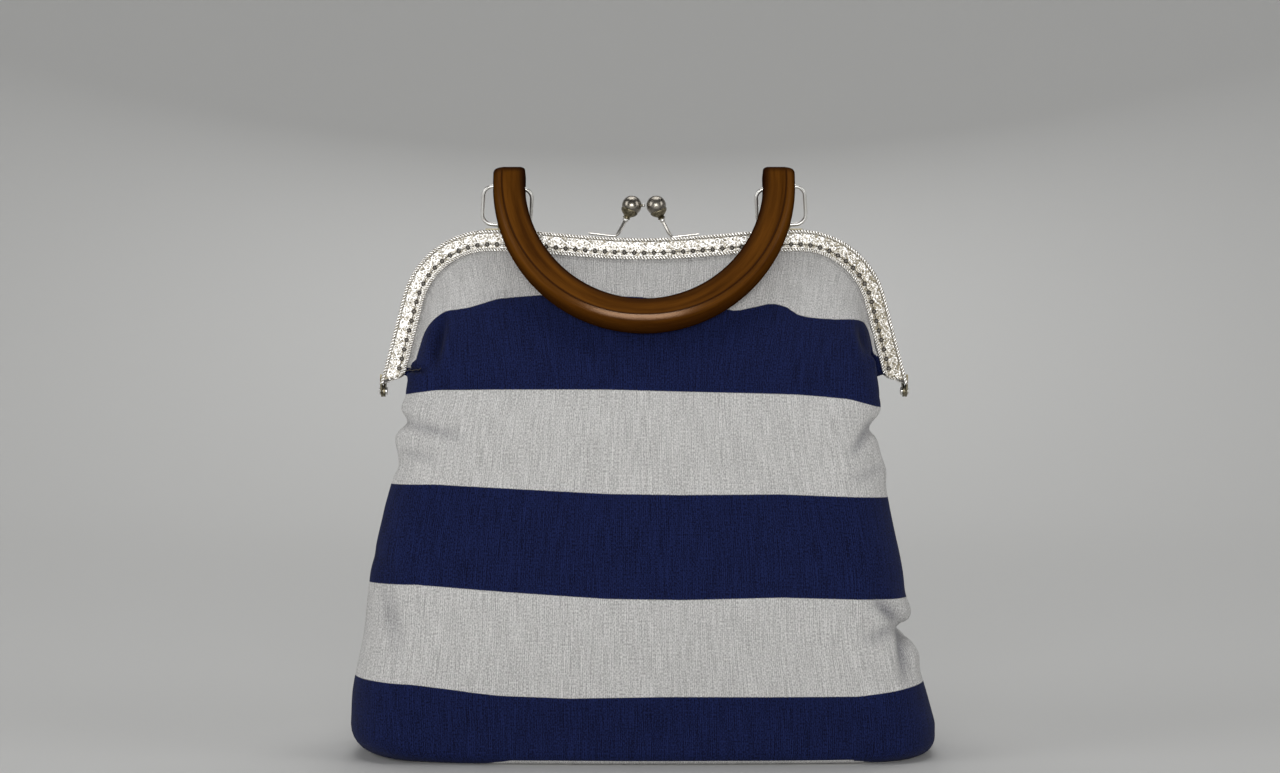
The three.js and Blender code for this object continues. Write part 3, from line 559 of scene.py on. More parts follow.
linen = Paint("striped_linen_cotton")
thread_x, thread_y, stripe_place = linen.vector("cloth_run")
warp_step = linen.noise(linen.math("DIVIDE", thread_x, THREAD_STEP), 0.0, 31.0, 0.0)
weft_step = linen.noise(0.0, linen.math("DIVIDE", thread_y, THREAD_STEP), 37.0, 0.0)
warp_along = linen.weighted((thread_y, 1 / WARP_SLUB[1]), (warp_step, STEP_DRIFT))
weft_along = linen.weighted((thread_x, 1 / WEFT_SLUB[0]), (weft_step, STEP_DRIFT))
warp_slub = linen.noise(linen.math("DIVIDE", thread_x, WARP_SLUB[0]), warp_along, 3.0, 1.0)
weft_slub = linen.noise(weft_along, linen.math("DIVIDE", thread_y, WEFT_SLUB[1]), 9.0, 1.0)
pinholes = linen.noise(linen.math("DIVIDE", thread_x, PINHOLE_WIDTH), thread_y, 17.0, 0.0)
slub = linen.weighted((warp_slub, 0.5), (weft_slub, 0.1), (pinholes, 0.4))
warp_wave = linen.math("SINE", linen.weighted((thread_x, THREAD_TURN), (warp_slub, THREAD_WANDER)))
weft_wave = linen.math("SINE", linen.weighted((thread_y, THREAD_TURN), (weft_slub, THREAD_WANDER)))
weave = linen.weighted((warp_wave, 0.4), (weft_wave, 0.12))
thread_tone = linen.math("MULTIPLY_ADD", weave, WEAVE_SHARE, linen.spread(slub, *SLUB_TONES))
off_white = linen.blend(thread_tone, OFF_WHITE_DARK, OFF_WHITE_LIGHT)
navy = linen.blend(thread_tone, NAVY_DARK, NAVY_LIGHT)
stripe_wave = linen.math("SINE", linen.math("MULTIPLY", stripe_place, math.pi))
stripe_wave = linen.math("MULTIPLY_ADD", linen.math("SUBTRACT", warp_slub, 0.5), 0.05, stripe_wave)
cloth_colour = linen.blend(linen.spread(stripe_wave, -STRIPE_BLUR, STRIPE_BLUR), off_white, navy)
linen.dress({
    "Base Color": linen.blend(linen.number("fold_shade"), cloth_colour, FOLD_SHADE, "MULTIPLY"),
    "Roughness": 0.88,
    "Specular IOR Level": 0.1,
    "Sheen Weight": 0.03,
    "Sheen Roughness": 0.5,
})
linen.bump(linen.math("MULTIPLY_ADD", slub, 0.8, weave), 0.5, 0.00025)


def keep_numbers(made, name, values):
    """Stores a number or a vector on each point of an object's mesh"""
    values = np.asarray(values, float)
    kind, key = ("FLOAT_VECTOR", "vector") if values.ndim == 2 else ("FLOAT", "value")
    attribute = made.data.attributes.new(name, kind, "POINT")
    attribute.data.foreach_set(key, values.ravel())


def clean_mesh(made, weld_gap=0.00002, outwards=False):
    """Joins points that lie on each other, and turns all faces outwards where asked"""
    work = bmesh.new()
    work.from_mesh(made.data)
    if weld_gap > 0:
        bmesh.ops.remove_doubles(work, verts=work.verts, dist=weld_gap)
    if outwards:
        bmesh.ops.recalc_face_normals(work, faces=work.faces)
    work.to_mesh(made.data)
    work.free()
    made.data.update()


striped_bag = object_from("striped_bag", bag_points, bag_faces, [linen.material])
keep_numbers(striped_bag, "cloth_run", bag_run)
keep_numbers(striped_bag, "fold_shade", np.tile(fold_shade.ravel(), 2))
clean_mesh(striped_bag)
wall = striped_bag.modifiers.new("wall", "SOLIDIFY")
wall.thickness = CLOTH * MM
wall.offset = -1.0
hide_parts("bag_shell")
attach(striped_bag, "bag")

# The two frame halves: nickel-plated steel strip stamped into a channel, with a twisted rope along both
# edges, a running scroll between them and a row of sewing holes. The front half has a soldered lug for
# each ring.
BAND_WIDTH = 10.8
RIM_WIDTH = 1.3
SHEET = 0.9
FACE_DEPTH = 5.5
LEG_TIP = 182.2
LEG_FACE_END = 184.3
LEG_INNER_END = 189.0
HOLES = 67
HOLE_RADIUS = 1.1
HOLE_FLAT = 1.55
# Painted shade: how far round each hole the face is darkened
HOLE_SHADE_REACH = 1.3
HOLE_INSET = 7.3
HOLE_REACH = 0.955
ROPE_LAY = 1.5
ROPE_STEP = 0.163
ROPE_FLATNESS = 0.5
ROPE_CORE = 0.76
ROPE_STRAND = 0.24
ROPE_SHADES = (0.5, 0.75)
OUTER_ROPE = (0.8, 0.84)
INNER_ROPE = (BAND_WIDTH - 0.88, 0.92)
# Painted shade: how far the face darkens towards its right end
FACE_SHADE_TO_RIGHT = 0.16
SCROLL_PITCH = 6.6
SCROLL_MIDDLE = 3.85
CURL_TURN = 1.1
CURL_REACH = 2.2
VINE_SWING = 1.75
VINE_WIDTH = 0.36
LEAF_AWAY = 1.9
LEAF_WIDTH = 0.5
# Rows of beads: inset of the middle, half width and pitch
SEED_ROW = (6.05, 0.22, 0.95)
LOW_LEAF_ROW = (8.75, 0.3, 1.4)
GROOVE = (1.5, 1.95)
PEBBLE_SEED = 11
RELIEF_SINK = 0.12
RELIEF_RISE = 0.42
RIVET_Z = 178.8
EAR_RADIUS = 2.9
EAR_TOP = 187.0
EAR_DEPTH = 4.6
EAR_GAP = 0.4
LUG_X = 68.8
LUG_LENGTH = 8.0
LUG_RADIUS = 2.3
LUG_HOLE = 1.5
LUG_BEVEL = 0.35
LUG_RISE = 2.4
LUG_BLOCK_DROP = 1.45
LUG_FOOT_IN = 5.0
LUG_FOOT_OUT = 10.0
LUG_FOOT_RISE = 0.7
LUG_FOOT_SINK = 0.4
LUG_DEPTH = 2.9
STRIP_SHADE = 0.45
SOLDERED_SHADE = 0.4
TARNISH_SCALE = 1500.0
# The dark end of the nickel's colour: tarnish in the hollows, and painted shade
TARNISH_AND_SHADE = (0.27, 0.235, 0.165, 1.0)
NICKEL = (0.95, 0.935, 0.91, 1.0)
# Channel from the face's outer edge round the flange and inner wall to the face's inner edge: inset and depth
CHANNEL = np.array([
    (1.3, 5.5), (0.9, 5.6), (0.25, 5.5), (0.0, 5.2), (0.0, 0.2), (0.9, 0.2), (0.9, 0.9), (8.0, 0.9),
    (8.0, 1.8), (0.9, 1.8), (0.9, 4.6), (10.8, 4.6), (10.8, 5.2), (10.55, 5.5), (9.9, 5.6), (9.5, 5.5)])


def leg_end(inset):
    """Height that a leg ends at: the outer tip runs on to the hinge and the inner corner is cut away"""
    share = np.clip((inset - RIM_WIDTH) / (BAND_WIDTH - RIM_WIDTH), 0, 1)
    cut = LEG_FACE_END + (LEG_INNER_END - LEG_FACE_END) * share**4
    return np.where(inset <= SHEET, LEG_TIP, cut)


def band_at(run, inset, depth, face):
    """Points of the band, with the runs past the shoulders drawn in to each leg's cut end"""
    run, inset, depth = np.broadcast_arrays(run, inset, depth)
    start = SHOULDER_X + SHOULDER_LENGTH
    drop = LEG_START - inset * math.sin(LEG_LEAN) - leg_end(inset)
    end = start + drop / math.cos(LEG_LEAN)
    past = np.maximum(np.abs(run) - start, 0)
    fitted = np.where(past > 0, np.sign(run) * (start + past * (end - start) / (ARCH_HALF - start)), run)
    point, _ = arch_at(fitted, inset)
    point[..., 1] = face * depth
    return point


def hole_places():
    """Middles of the sewing holes, evenly spaced along their line"""
    runs = np.linspace(-HOLE_REACH, HOLE_REACH, 2000) * ARCH_HALF
    line, _ = arch_at(runs, HOLE_INSET)
    length = np.concatenate([[0], np.cumsum(np.linalg.norm(np.diff(line, axis=0), axis=1))])
    wanted = np.linspace(0, length[-1], HOLES)
    return np.stack([np.interp(wanted, length, line[:, k]) for k in range(3)], -1)


def line_of_beads(run, inset, middle, half_width, pitch):
    """A row of small raised beads along the band"""
    return np.exp(-((inset - middle) / half_width) ** 2) * (0.5 + 0.5 * np.cos(2 * np.pi * run / pitch))


def scroll_relief(run, inset):
    """Height of the stamped scroll, from 0 in the ground to 1 on the leaves"""
    unit = np.floor(run / SCROLL_PITCH)
    way = np.where(unit % 2 == 0, 1.0, -1.0)
    from_x = run - (unit + 0.5) * SCROLL_PITCH
    from_z = (inset - SCROLL_MIDDLE) * way - 0.35
    reach = np.hypot(from_x, from_z)
    angle = np.arctan2(from_z, from_x)
    curl = 0.5 + 0.5 * np.cos(2 * np.pi * reach / CURL_TURN - angle)
    curl = curl * smooth_step(-reach, -CURL_REACH, -1.8)
    wave = np.sin(np.pi * run / SCROLL_PITCH)
    vine = np.exp(-((inset - SCROLL_MIDDLE - VINE_SWING * wave) / VINE_WIDTH) ** 2)
    leaf_run = np.abs(((run / SCROLL_PITCH * 4) % 1.0) - 0.5)
    leaf = np.exp(-((inset - SCROLL_MIDDLE + LEAF_AWAY * np.sign(wave)) / LEAF_WIDTH) ** 2)
    leaf = leaf * smooth_step(-leaf_run, -0.42, -0.15)
    seeds = line_of_beads(run, inset, *SEED_ROW)
    low_leaves = line_of_beads(run, inset, *LOW_LEAF_ROW)
    stamped = np.maximum.reduce([curl, vine, 0.85 * leaf, 0.8 * seeds, 0.8 * low_leaves])
    pebble = np.random.default_rng(PEBBLE_SEED).random(run.shape)
    pebble = pebble + 0.6 * (np.roll(pebble, 1, axis=0) + np.roll(pebble, 1, axis=1))
    groove = smooth_step(inset, *GROOVE)
    return np.clip((0.34 * stamped + 0.9 * (pebble / 2.2 - 0.2)) * groove, 0, 1)


def piece_from(name, parts, paints):
    """An object made of parts and the shade of its points: a part is a skin, a paint's number and a shade"""
    points, faces, numbers, shades = [], [], [], []
    start = 0
    for (part_points, part_faces), number, shade in parts:
        part_points = np.asarray(part_points, float).reshape(-1, 3)
        points.append(part_points)
        faces.extend([[start + corner for corner in face] for face in part_faces])
        numbers.extend([number] * len(part_faces))
        shades.append(np.broadcast_to(shade, (len(part_points),)))
        start += len(part_points)
    made = object_from(name, np.concatenate(points), faces, [paint.material for paint in paints])
    made.data.polygons.foreach_set("material_index", numbers)
    return made, np.concatenate(shades)


def swept(path, outline, closed=False):
    """Skin of an outline carried along a path in an upright plane: outline is (outwards, back)"""
    path = np.asarray(path, float)
    if closed:
        along = np.roll(path, -1, axis=0) - np.roll(path, 1, axis=0)
    else:
        along = np.gradient(path, axis=0)
    along = along / np.maximum(np.linalg.norm(along[:, [0, 2]], axis=1, keepdims=True), 1e-9)
    outwards = np.stack([along[:, 2], np.zeros(len(path)), -along[:, 0]], -1)
    outline = np.broadcast_to(outline, (len(path),) + np.shape(outline)[-2:])
    points = path[:, None, :] + outwards[:, None, :] * outline[..., :1]
    points[..., 1] += outline[..., 1]
    sides = outline.shape[1]
    if closed:
        faces = grid_faces(len(path) + 1, sides, closed=True) % (len(path) * sides)
        return points.reshape(-1, 3), faces.tolist()
    faces = grid_faces(len(path), sides, closed=True).tolist()
    faces.append(list(range(sides))[::-1])
    faces.append([(len(path) - 1) * sides + k for k in range(sides)])
    return points.reshape(-1, 3), faces


def turned(profile, origin, axis, sides):
    """Skin of a turned piece: profile pairs of radius and distance along the axis"""
    profile = np.asarray(profile, float)
    axis = np.asarray(axis, float) / np.linalg.norm(axis)
    side = np.cross(axis, (0, 1, 0) if abs(axis[1]) < 0.9 else (1, 0, 0))
    side /= np.linalg.norm(side)
    other = np.cross(axis, side)
    turn = np.linspace(0, 2 * np.pi, sides, endpoint=False)
    ring = np.cos(turn)[:, None] * side + np.sin(turn)[:, None] * other
    points = np.asarray(origin) + profile[:, None, :1] * ring + profile[:, None, 1:] * axis
    return points.reshape(-1, 3), grid_faces(len(profile), sides, closed=True).tolist()


def rope(inset, thick, face):
    """A twisted two-strand edge, and a shade by how high each point stands on its strand"""
    runs = np.arange(-ARCH_HALF, ARCH_HALF, ROPE_STEP)
    centre = band_at(runs, inset, FACE_DEPTH + 0.05, face)
    turn = np.linspace(0, 2 * np.pi, 8, endpoint=False)
    strand = np.cos(2 * (turn[None, :] - np.pi * runs[:, None] / ROPE_LAY))
    radius = thick * (ROPE_CORE + ROPE_STRAND * strand)
    outline = np.stack([radius * np.cos(turn), ROPE_FLATNESS * radius * np.sin(turn)], -1)
    return swept(centre, outline), ROPE_SHADES[0] + ROPE_SHADES[1] * strand.ravel()


def band_face(face, holes):
    """The stamped face with its relief, pierced by the sewing holes whose edges turn in, and its shades"""
    runs = np.linspace(-ARCH_HALF, ARCH_HALF, 1021)
    insets = np.linspace(RIM_WIDTH, BAND_WIDTH - RIM_WIDTH, 27)
    run, inset = np.meshgrid(runs, insets, indexing="ij")
    relief = scroll_relief(run, inset)
    edge = np.minimum(inset - RIM_WIDTH, BAND_WIDTH - RIM_WIDTH - inset)
    depth = FACE_DEPTH - RELIEF_SINK + RELIEF_RISE * relief * smooth_step(edge, 0.0, 0.4)
    flat = band_at(run, inset, depth, face).reshape(-1, 3)
    nearest = np.full(len(flat), 1e9)
    hole_of = np.zeros(len(flat), int)
    for k, middle in enumerate(holes):
        away = np.hypot(flat[:, 0] - middle[0], flat[:, 2] - middle[2])
        hole_of = np.where(away < nearest, k, hole_of)
        nearest = np.minimum(nearest, away)
    flat[:, 1] = np.where(nearest < HOLE_FLAT, face * (FACE_DEPTH - 0.1), flat[:, 1])
    faces = grid_faces(len(runs), len(insets))
    in_hole = (nearest[faces] < HOLE_RADIUS).any(axis=1)
    on_edge = np.zeros(len(flat), bool)
    on_edge[faces[in_hole].ravel()] = True
    on_edge &= nearest >= HOLE_RADIUS
    middle = holes[hole_of[on_edge]]
    out = flat[on_edge] - middle
    out[:, 1] = 0
    out *= HOLE_RADIUS / np.linalg.norm(out, axis=1, keepdims=True)
    flat[on_edge, 0] = middle[:, 0] + out[:, 0]
    flat[on_edge, 2] = middle[:, 2] + out[:, 2]
    # Painted shade: the face is darkened in a ring round each hole
    shade = np.where(nearest < HOLE_SHADE_REACH, 0.05, relief.ravel())
    kept = faces[~in_hole]
    # The cut edges of the holes turn in through the thickness of the strip
    sides = np.concatenate([kept[:, [k, (k + 1) % 4]] for k in range(4)])
    codes = np.sort(sides, axis=1) @ np.array([len(flat), 1])
    _, first, uses = np.unique(codes, return_index=True, return_counts=True)
    lip = sides[first[uses == 1]]
    lip = lip[on_edge[lip].all(axis=1)]
    used, numbers = np.unique(lip, return_inverse=True)
    inner = flat[used]
    inner[:, 1] = face * (FACE_DEPTH - SHEET)
    numbers = numbers.reshape(lip.shape) + len(flat)
    lip_faces = np.stack([lip[:, 1], lip[:, 0], numbers[:, 0], numbers[:, 1]], -1)
    skin = (np.concatenate([flat, inner]), kept.tolist() + lip_faces.tolist())
    # Painted shade: the lips inside the holes take the darkest tone
    shade = np.concatenate([shade, np.zeros(len(used))])
    # Painted shade: the face darkens towards its right end
    return skin, shade - FACE_SHADE_TO_RIGHT * smooth_step(skin[0][:, 0], 70, 112)


def channel_strip(face):
    """The folded strip behind the face, closed at both ends"""
    stations = np.concatenate([
        np.linspace(-ARCH_HALF, -SHOULDER_X, 60),
        np.linspace(-SHOULDER_X, SHOULDER_X, 60)[1:-1],
        np.linspace(SHOULDER_X, ARCH_HALF, 60)])
    points = band_at(stations[:, None], CHANNEL[None, :, 0], CHANNEL[None, :, 1], face)
    faces = grid_faces(len(stations), len(CHANNEL)).tolist()
    last = (len(stations) - 1) * len(CHANNEL)
    faces.append(list(range(len(CHANNEL))))
    faces.append([last + k for k in range(len(CHANNEL))][::-1])
    return points, faces


def hinge_ear(face, side, x):
    """A plate across the end of a leg that laps the other half's ear at the rivet"""
    outline = [(face * EAR_DEPTH, EAR_TOP), (face * EAR_GAP, EAR_TOP), (face * EAR_GAP, LEG_TIP)]
    for turn in np.linspace(math.pi / 2, -math.pi / 2, 13):
        outline.append((-face * EAR_RADIUS * math.cos(turn), RIVET_Z + EAR_RADIUS * math.sin(turn)))
    outline.append((face * EAR_DEPTH, LEG_TIP))
    near = [(side * x, y, z) for y, z in outline]
    far = [(side * (x + SHEET), y, z) for y, z in outline]
    n = len(outline)
    faces = [[k, (k + 1) % n, n + (k + 1) % n, n + k] for k in range(n)]
    faces.append(list(range(n))[::-1])
    faces.append([n + k for k in range(n)])
    return near + far, faces


def ring_lug(side):
    """A rolled eye for a ring, on a block and a strip foot soldered to the frame's top"""
    x = side * LUG_X
    z = float(frame_top(LUG_X)) + LUG_RISE
    half = LUG_LENGTH / 2
    inner, outer, bevel = LUG_HOLE, LUG_RADIUS, LUG_BEVEL
    eye = [(inner, -half), (outer - bevel, -half), (outer, bevel - half), (outer, half - bevel),
           (outer - bevel, half), (inner, half), (inner, -half)]
    block_path = [(x + end * (half - 0.3), -LUG_DEPTH, z - LUG_BLOCK_DROP) for end in (-1, 1)]
    block = np.array([(1.3, -2.1), (1.3, 2.1), (0.5, 2.4), (-0.9, 2.0), (-0.9, -2.0), (0.5, -2.4)])
    foot_z = z - LUG_RISE + (LUG_FOOT_RISE - LUG_FOOT_SINK) / 2
    foot_ends = sorted((x - side * LUG_FOOT_IN, x + side * LUG_FOOT_OUT))
    foot_path = [(foot_x, -LUG_DEPTH, foot_z) for foot_x in foot_ends]
    rise = (LUG_FOOT_RISE + LUG_FOOT_SINK) / 2
    low = rise - 0.25
    foot = np.array([(rise, -2.0), (rise, 2.0), (low, 2.3), (-rise, 2.3), (-rise, -2.3), (low, -2.3)])
    turned_eye = turned(eye, (x, -LUG_DEPTH, z), (1, 0, 0), 32)
    return turned_eye, swept(block_path, block), swept(foot_path, foot)


plated = Paint("stamped_nickel")
# Colour runs from dark to bright nickel by random tarnish and by the number kept on the points: the relief's
# hollows, the rope's strand troughs, and painted shade round the holes and towards the right end
tarnish = plated.math("SUBTRACT", plated.speckle(TARNISH_SCALE, 3.0), 0.5)
plated_tone = plated.math("MULTIPLY_ADD", tarnish, 1.5, plated.number("relief"))
plated_tone = plated.spread(plated_tone, 0.02, 0.7)
plated.dress({
    "Base Color": plated.blend(plated_tone, TARNISH_AND_SHADE, NICKEL),
    "Metallic": 1.0,
    "Roughness": plated.spread(plated_tone, 0.0, 1.0, 0.55, 0.4),
})
plated.bump(plated.speckle(TARNISH_SCALE), 0.35, 0.0002)


def speckled_metal(name, scale, dark, light, roughness, tones=None, detail=2.0):
    """A metal whose colour follows noise, or a range of it, from dark to light, as its roughness does"""
    paint = Paint(name)
    marks = paint.speckle(scale, detail)
    tone = paint.spread(marks, *tones) if tones else marks
    paint.dress({
        "Base Color": paint.blend(tone, (*dark, 1.0), (*light, 1.0)),
        "Metallic": 1.0,
        "Roughness": paint.spread(marks, 0.3, 0.7, *roughness),
    })
    return paint


brassy = speckled_metal(
    "worn_brass", 420.0, (0.10, 0.085, 0.05), (0.36, 0.32, 0.22), roughness=(0.36, 0.5), tones=(0.35, 0.65))

holes = hole_places()
for half_name, node_name, face, ear_x in (
        ("frame_front_stamping", "frame_front", -1, 130.5), ("frame_back_stamping", "frame_back", 1, 129.2)):
    parts = [(channel_strip(face), 0, STRIP_SHADE)]
    for skin, shade in (rope(*OUTER_ROPE, face), rope(*INNER_ROPE, face), band_face(face, holes)):
        parts.append((skin, 0, shade))
    for side in (-1, 1):
        parts.append((hinge_ear(face, side, ear_x), 1, SOLDERED_SHADE))
        if face < 0:
            for skin in ring_lug(side):
                parts.append((skin, 1, SOLDERED_SHADE))
    half, shades = piece_from(half_name, parts, [plated, brassy])
    # The kept number holds the relief and the shades, with the painted shade round the holes and towards the
    # right among them
    keep_numbers(half, "relief", shades)
    clean_mesh(half, weld_gap=0.0, outwards=True)
    half.data.set_sharp_from_angle(angle=math.radians(50))
    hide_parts(node_name)
    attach(half, "bag")

# The sewing thread: dark waxed cotton taken from hole to hole along the face of each half, one stitch a gap,
# diving into the hole at both ends. The turns in each hole are rubbed pale, and one end hangs loose.
THREAD_RADIUS = 0.17
THREAD_ROUGHNESS = 0.6
STITCH_SAG = 0.12
STITCH_DIVE = 0.7
DIVE_SHARE = 0.17
KNOT_RADIUS = 1.06
KNOT_MIDDLE = 0.66
KNOT_SINK = 0.45
KNOT_RISE = 0.35
KNOT_DEPTH = 0.5
LOOSE_LIFT = 0.3
LOOSE_RADIUS = 1.4 * THREAD_RADIUS
# The loose end at the foot of the left leg, where the thread is tied off: x and height along it
LOOSE_END = np.array([
    (-115.8, 188.5), (-114.2, 189.2), (-112.4, 188.6), (-110.6, 189.2), (-109.2, 189.0), (-107.9, 190.0)])


def spun_thread(name, scale, dark, light):
    """A thread whose plies run from dark to light"""
    paint = Paint(name)
    colour = paint.blend(paint.speckle(scale), (*dark, 1.0), (*light, 1.0))
    paint.dress({"Base Color": colour, "Roughness": THREAD_ROUGHNESS})
    return paint


def round_outline(radius):
    turn = np.linspace(0, 2 * np.pi, 8, endpoint=False)
    return np.stack([np.cos(turn), np.sin(turn)], -1) * radius


def dome(radius, rise, steps, foot=0.0, start=0.0):
    """Profile of a dome, or of a ball where it starts at the other pole"""
    return [(radius * math.cos(t), foot + rise * math.sin(t)) for t in np.linspace(start, math.pi / 2, steps)]


waxed = spun_thread("waxed_thread", 2600.0, (0.018, 0.014, 0.012), (0.06, 0.05, 0.042))
rubbed = spun_thread("worn_thread", 900.0, (0.08, 0.072, 0.062), (0.36, 0.33, 0.28))

for thread_name, face in (("front_stitches", -1), ("back_stitches", 1)):
    parts = []
    share = np.linspace(0, 1, 13)
    lift = smooth_step(np.minimum(share, 1 - share), 0.0, DIVE_SHARE)
    for k, (first, second) in enumerate(zip(holes, holes[1:])):
        path = first + (second - first) * share[:, None]
        path[:, 1] = face * (FACE_DEPTH - STITCH_DIVE + lift)
        path[:, 2] += STITCH_SAG * math.sin(2.3 * k) * np.sin(np.pi * share)
        parts.append((swept(path, round_outline(THREAD_RADIUS)), 0, 0.0))
    for x, _, z in holes:
        # The turns of thread that fill a hole show as a small sunk dome with a rubbed middle
        place = (x, face * (FACE_DEPTH - KNOT_SINK), z)
        knot = [(KNOT_RADIUS, -KNOT_DEPTH)] + dome(KNOT_RADIUS, KNOT_RISE, 6)
        parts.append((turned(knot, place, (0, face, 0), 14), 0, 0.0))
        parts.append((turned(dome(KNOT_MIDDLE, 0.2, 5, foot=0.25), place, (0, face, 0), 12), 1, 0.0))
    if face < 0:
        cloth_points = front_panel.reshape(-1, 3)
        corners = np.arange(len(LOOSE_END))
        steps = np.linspace(0, len(LOOSE_END) - 1, 8 * len(LOOSE_END))
        path = np.stack([np.interp(steps, corners, LOOSE_END[:, k]) for k in (0, 0, 1)], -1)
        away = np.hypot(path[:, :1] - cloth_points[:, 0], path[:, 2:] - cloth_points[:, 2])
        on_cloth = np.where(away < 1.5, cloth_points[:, 1], 0.0).min(axis=1)
        path[:, 1] = np.minimum(on_cloth, np.linspace(on_cloth[0], on_cloth[-1], len(path))) - LOOSE_LIFT
        parts.append((swept(path, round_outline(LOOSE_RADIUS)), 0, 0.0))
    stitches, _ = piece_from(thread_name, parts, [waxed, rubbed])
    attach(stitches, "bag")

# The hinge rivets: turned steel pins through both ears at the foot of each leg, with a domed head outside and
# a flat one inside.
HINGE_INNER = 128.9
HINGE_OUTER = 131.7
PIN_RADIUS = 1.0
HEAD_RADIUS = 2.0
HEAD_RISE = 0.8
HEAD_BEVEL = 0.3

bright = speckled_metal(
    "bright_nickel", 260.0, (0.86, 0.845, 0.80), (0.97, 0.96, 0.93), roughness=(0.30, 0.40),
    tones=(0.3, 0.7), detail=4.0)

for rivet_name, side in (("hinge_rivet_left", -1), ("hinge_rivet_right", 1)):
    inner_end = HINGE_INNER - HEAD_RISE
    profile = [
        (0.0, inner_end), (HEAD_RADIUS - HEAD_BEVEL, inner_end), (HEAD_RADIUS, inner_end + HEAD_BEVEL),
        (HEAD_RADIUS, HINGE_INNER), (PIN_RADIUS, HINGE_INNER), (PIN_RADIUS, HINGE_OUTER),
        (HEAD_RADIUS, HINGE_OUTER)]
    profile += dome(HEAD_RADIUS, HEAD_RISE, 9, foot=HINGE_OUTER)
    points, faces = turned(profile, (0, 0, RIVET_Z), (side, 0, 0), 28)
    rivet = object_from(rivet_name + "_turned", points, faces, [bright.material])
    clean_mesh(rivet)
    rivet.data.set_sharp_from_angle(angle=math.radians(40))
    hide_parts(rivet_name)
    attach(rivet, "bag")

# The kiss-lock clasp: two polished balls in brassy cups, each on a neck bead and a bent strip arm whose foot
# is riveted along the top of its own half. The balls pass each other and snap past a small nub.
BALL_RADIUS = 4.9
BALL_PLACE = np.array([6.1, 0.0, 271.5])
NECK_RADIUS = 1.4
NECK_PLACE = np.array([9.2, 0.7, 264.2])
NUB_GAP = 1.05
NUB_RADIUS = 0.85
NUB_RISE = 0.7
NUB_STALK = [(0.7, 0.0), (0.6, 0.5), (0.75, 1.3)]
ARM_BEND_X = 14.8
ARM_FOOT_X = 27.5
ARM_FOOT_RISE = 0.8
ARM_FOOT_SLOPE = 0.05
ARM_THICKNESS = 0.85
ARM_WIDTH = 3.6
CUP_PROFILE = [
    (1.2, 0.6), (1.8, 0.9), (1.85, 1.3), (1.5, 1.7), (2.0, 2.3), (2.9, 2.9), (3.75, 3.7), (4.25, 4.6),
    (4.35, 5.0), (4.2, 5.25), (3.9, 5.2)]

polished = speckled_metal(
    "polished_gunmetal", 300.0, (0.28, 0.255, 0.215), (0.40, 0.37, 0.32), roughness=(0.24, 0.34))
dulled = speckled_metal(
    "dulled_nickel", 300.0, (0.42, 0.40, 0.37), (0.58, 0.56, 0.52), roughness=(0.30, 0.40))


def clasp_arm():
    """The right-hand arm: a strip foot along the frame's top, a bent knee and a narrower rise to the neck"""
    foot_x = np.linspace(ARM_FOOT_X, ARM_BEND_X, 8)
    foot_z = frame_top(foot_x) + ARM_FOOT_RISE + ARM_FOOT_SLOPE * (foot_x - ARM_BEND_X)
    foot = np.stack([foot_x, np.full(len(foot_x), LUG_DEPTH), foot_z], -1)
    corner = np.array([ARM_BEND_X - 1.5, LUG_DEPTH, foot_z[-1] + 0.3])
    knee_end = corner + (NECK_PLACE - corner) * 0.3
    t = np.linspace(0, 1, 9)[1:, None]
    knee = foot[-1] * (1 - t) ** 2 + 2 * corner * t * (1 - t) + knee_end * t**2
    rise = knee_end + (NECK_PLACE - knee_end) * np.linspace(0, 1, 7)[1:, None]
    path = np.concatenate([foot, knee, rise])
    a, b = ARM_THICKNESS / 2, ARM_WIDTH / 2
    strip = np.array([(a, b - 0.3), (a - 0.25, b), (0.25 - a, b), (-a, b - 0.3),
                      (-a, 0.3 - b), (0.25 - a, -b), (a - 0.25, -b), (a, 0.3 - b)])
    last = len(path) - 1
    thicken = np.interp(np.arange(len(path)), [0, 9, 14, last], [1.0, 1.1, 2.0, 1.9])
    narrow = np.interp(np.arange(len(path)), [0, 15, last], [1.0, 1.0, 0.5])
    return swept(path, strip[None] * np.stack([thicken, narrow], -1)[:, None, :])


for clasp_name, node_name, side, face in (
        ("clasp_left_ball", "clasp_front", -1, -1), ("clasp_right_ball", "clasp_back", 1, 1)):
    to_ball = BALL_PLACE - NECK_PLACE
    low_pole = -math.pi / 2
    ball = turned(dome(BALL_RADIUS, BALL_RADIUS, 33, start=low_pole), BALL_PLACE, to_ball, 64)
    neck = turned(dome(NECK_RADIUS, NECK_RADIUS, 15, start=low_pole), NECK_PLACE, to_ball, 28)
    skins = [(clasp_arm(), 3), (ball, 0), (turned(CUP_PROFILE, NECK_PLACE, to_ball, 48), 2), (neck, 1)]
    if side < 0:
        nub_place = (BALL_PLACE[0] - BALL_RADIUS - NUB_GAP, 0, BALL_PLACE[2])
        skins.append((turned(dome(NUB_RADIUS, NUB_RISE, 13, start=low_pole), nub_place, (1, 0, 0), 20), 1))
        skins.append((turned(NUB_STALK, nub_place, (1, 0, 0), 20), 2))
    parts = [((points * (side, face, 1.0), faces), number, 0.0) for (points, faces), number in skins]
    clasp, _ = piece_from(clasp_name, parts, [polished, bright, brassy, dulled])
    clean_mesh(clasp, weld_gap=0.00001, outwards=True)
    clasp.data.set_sharp_from_angle(angle=math.radians(45))
    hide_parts(node_name)
    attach(clasp, "bag")

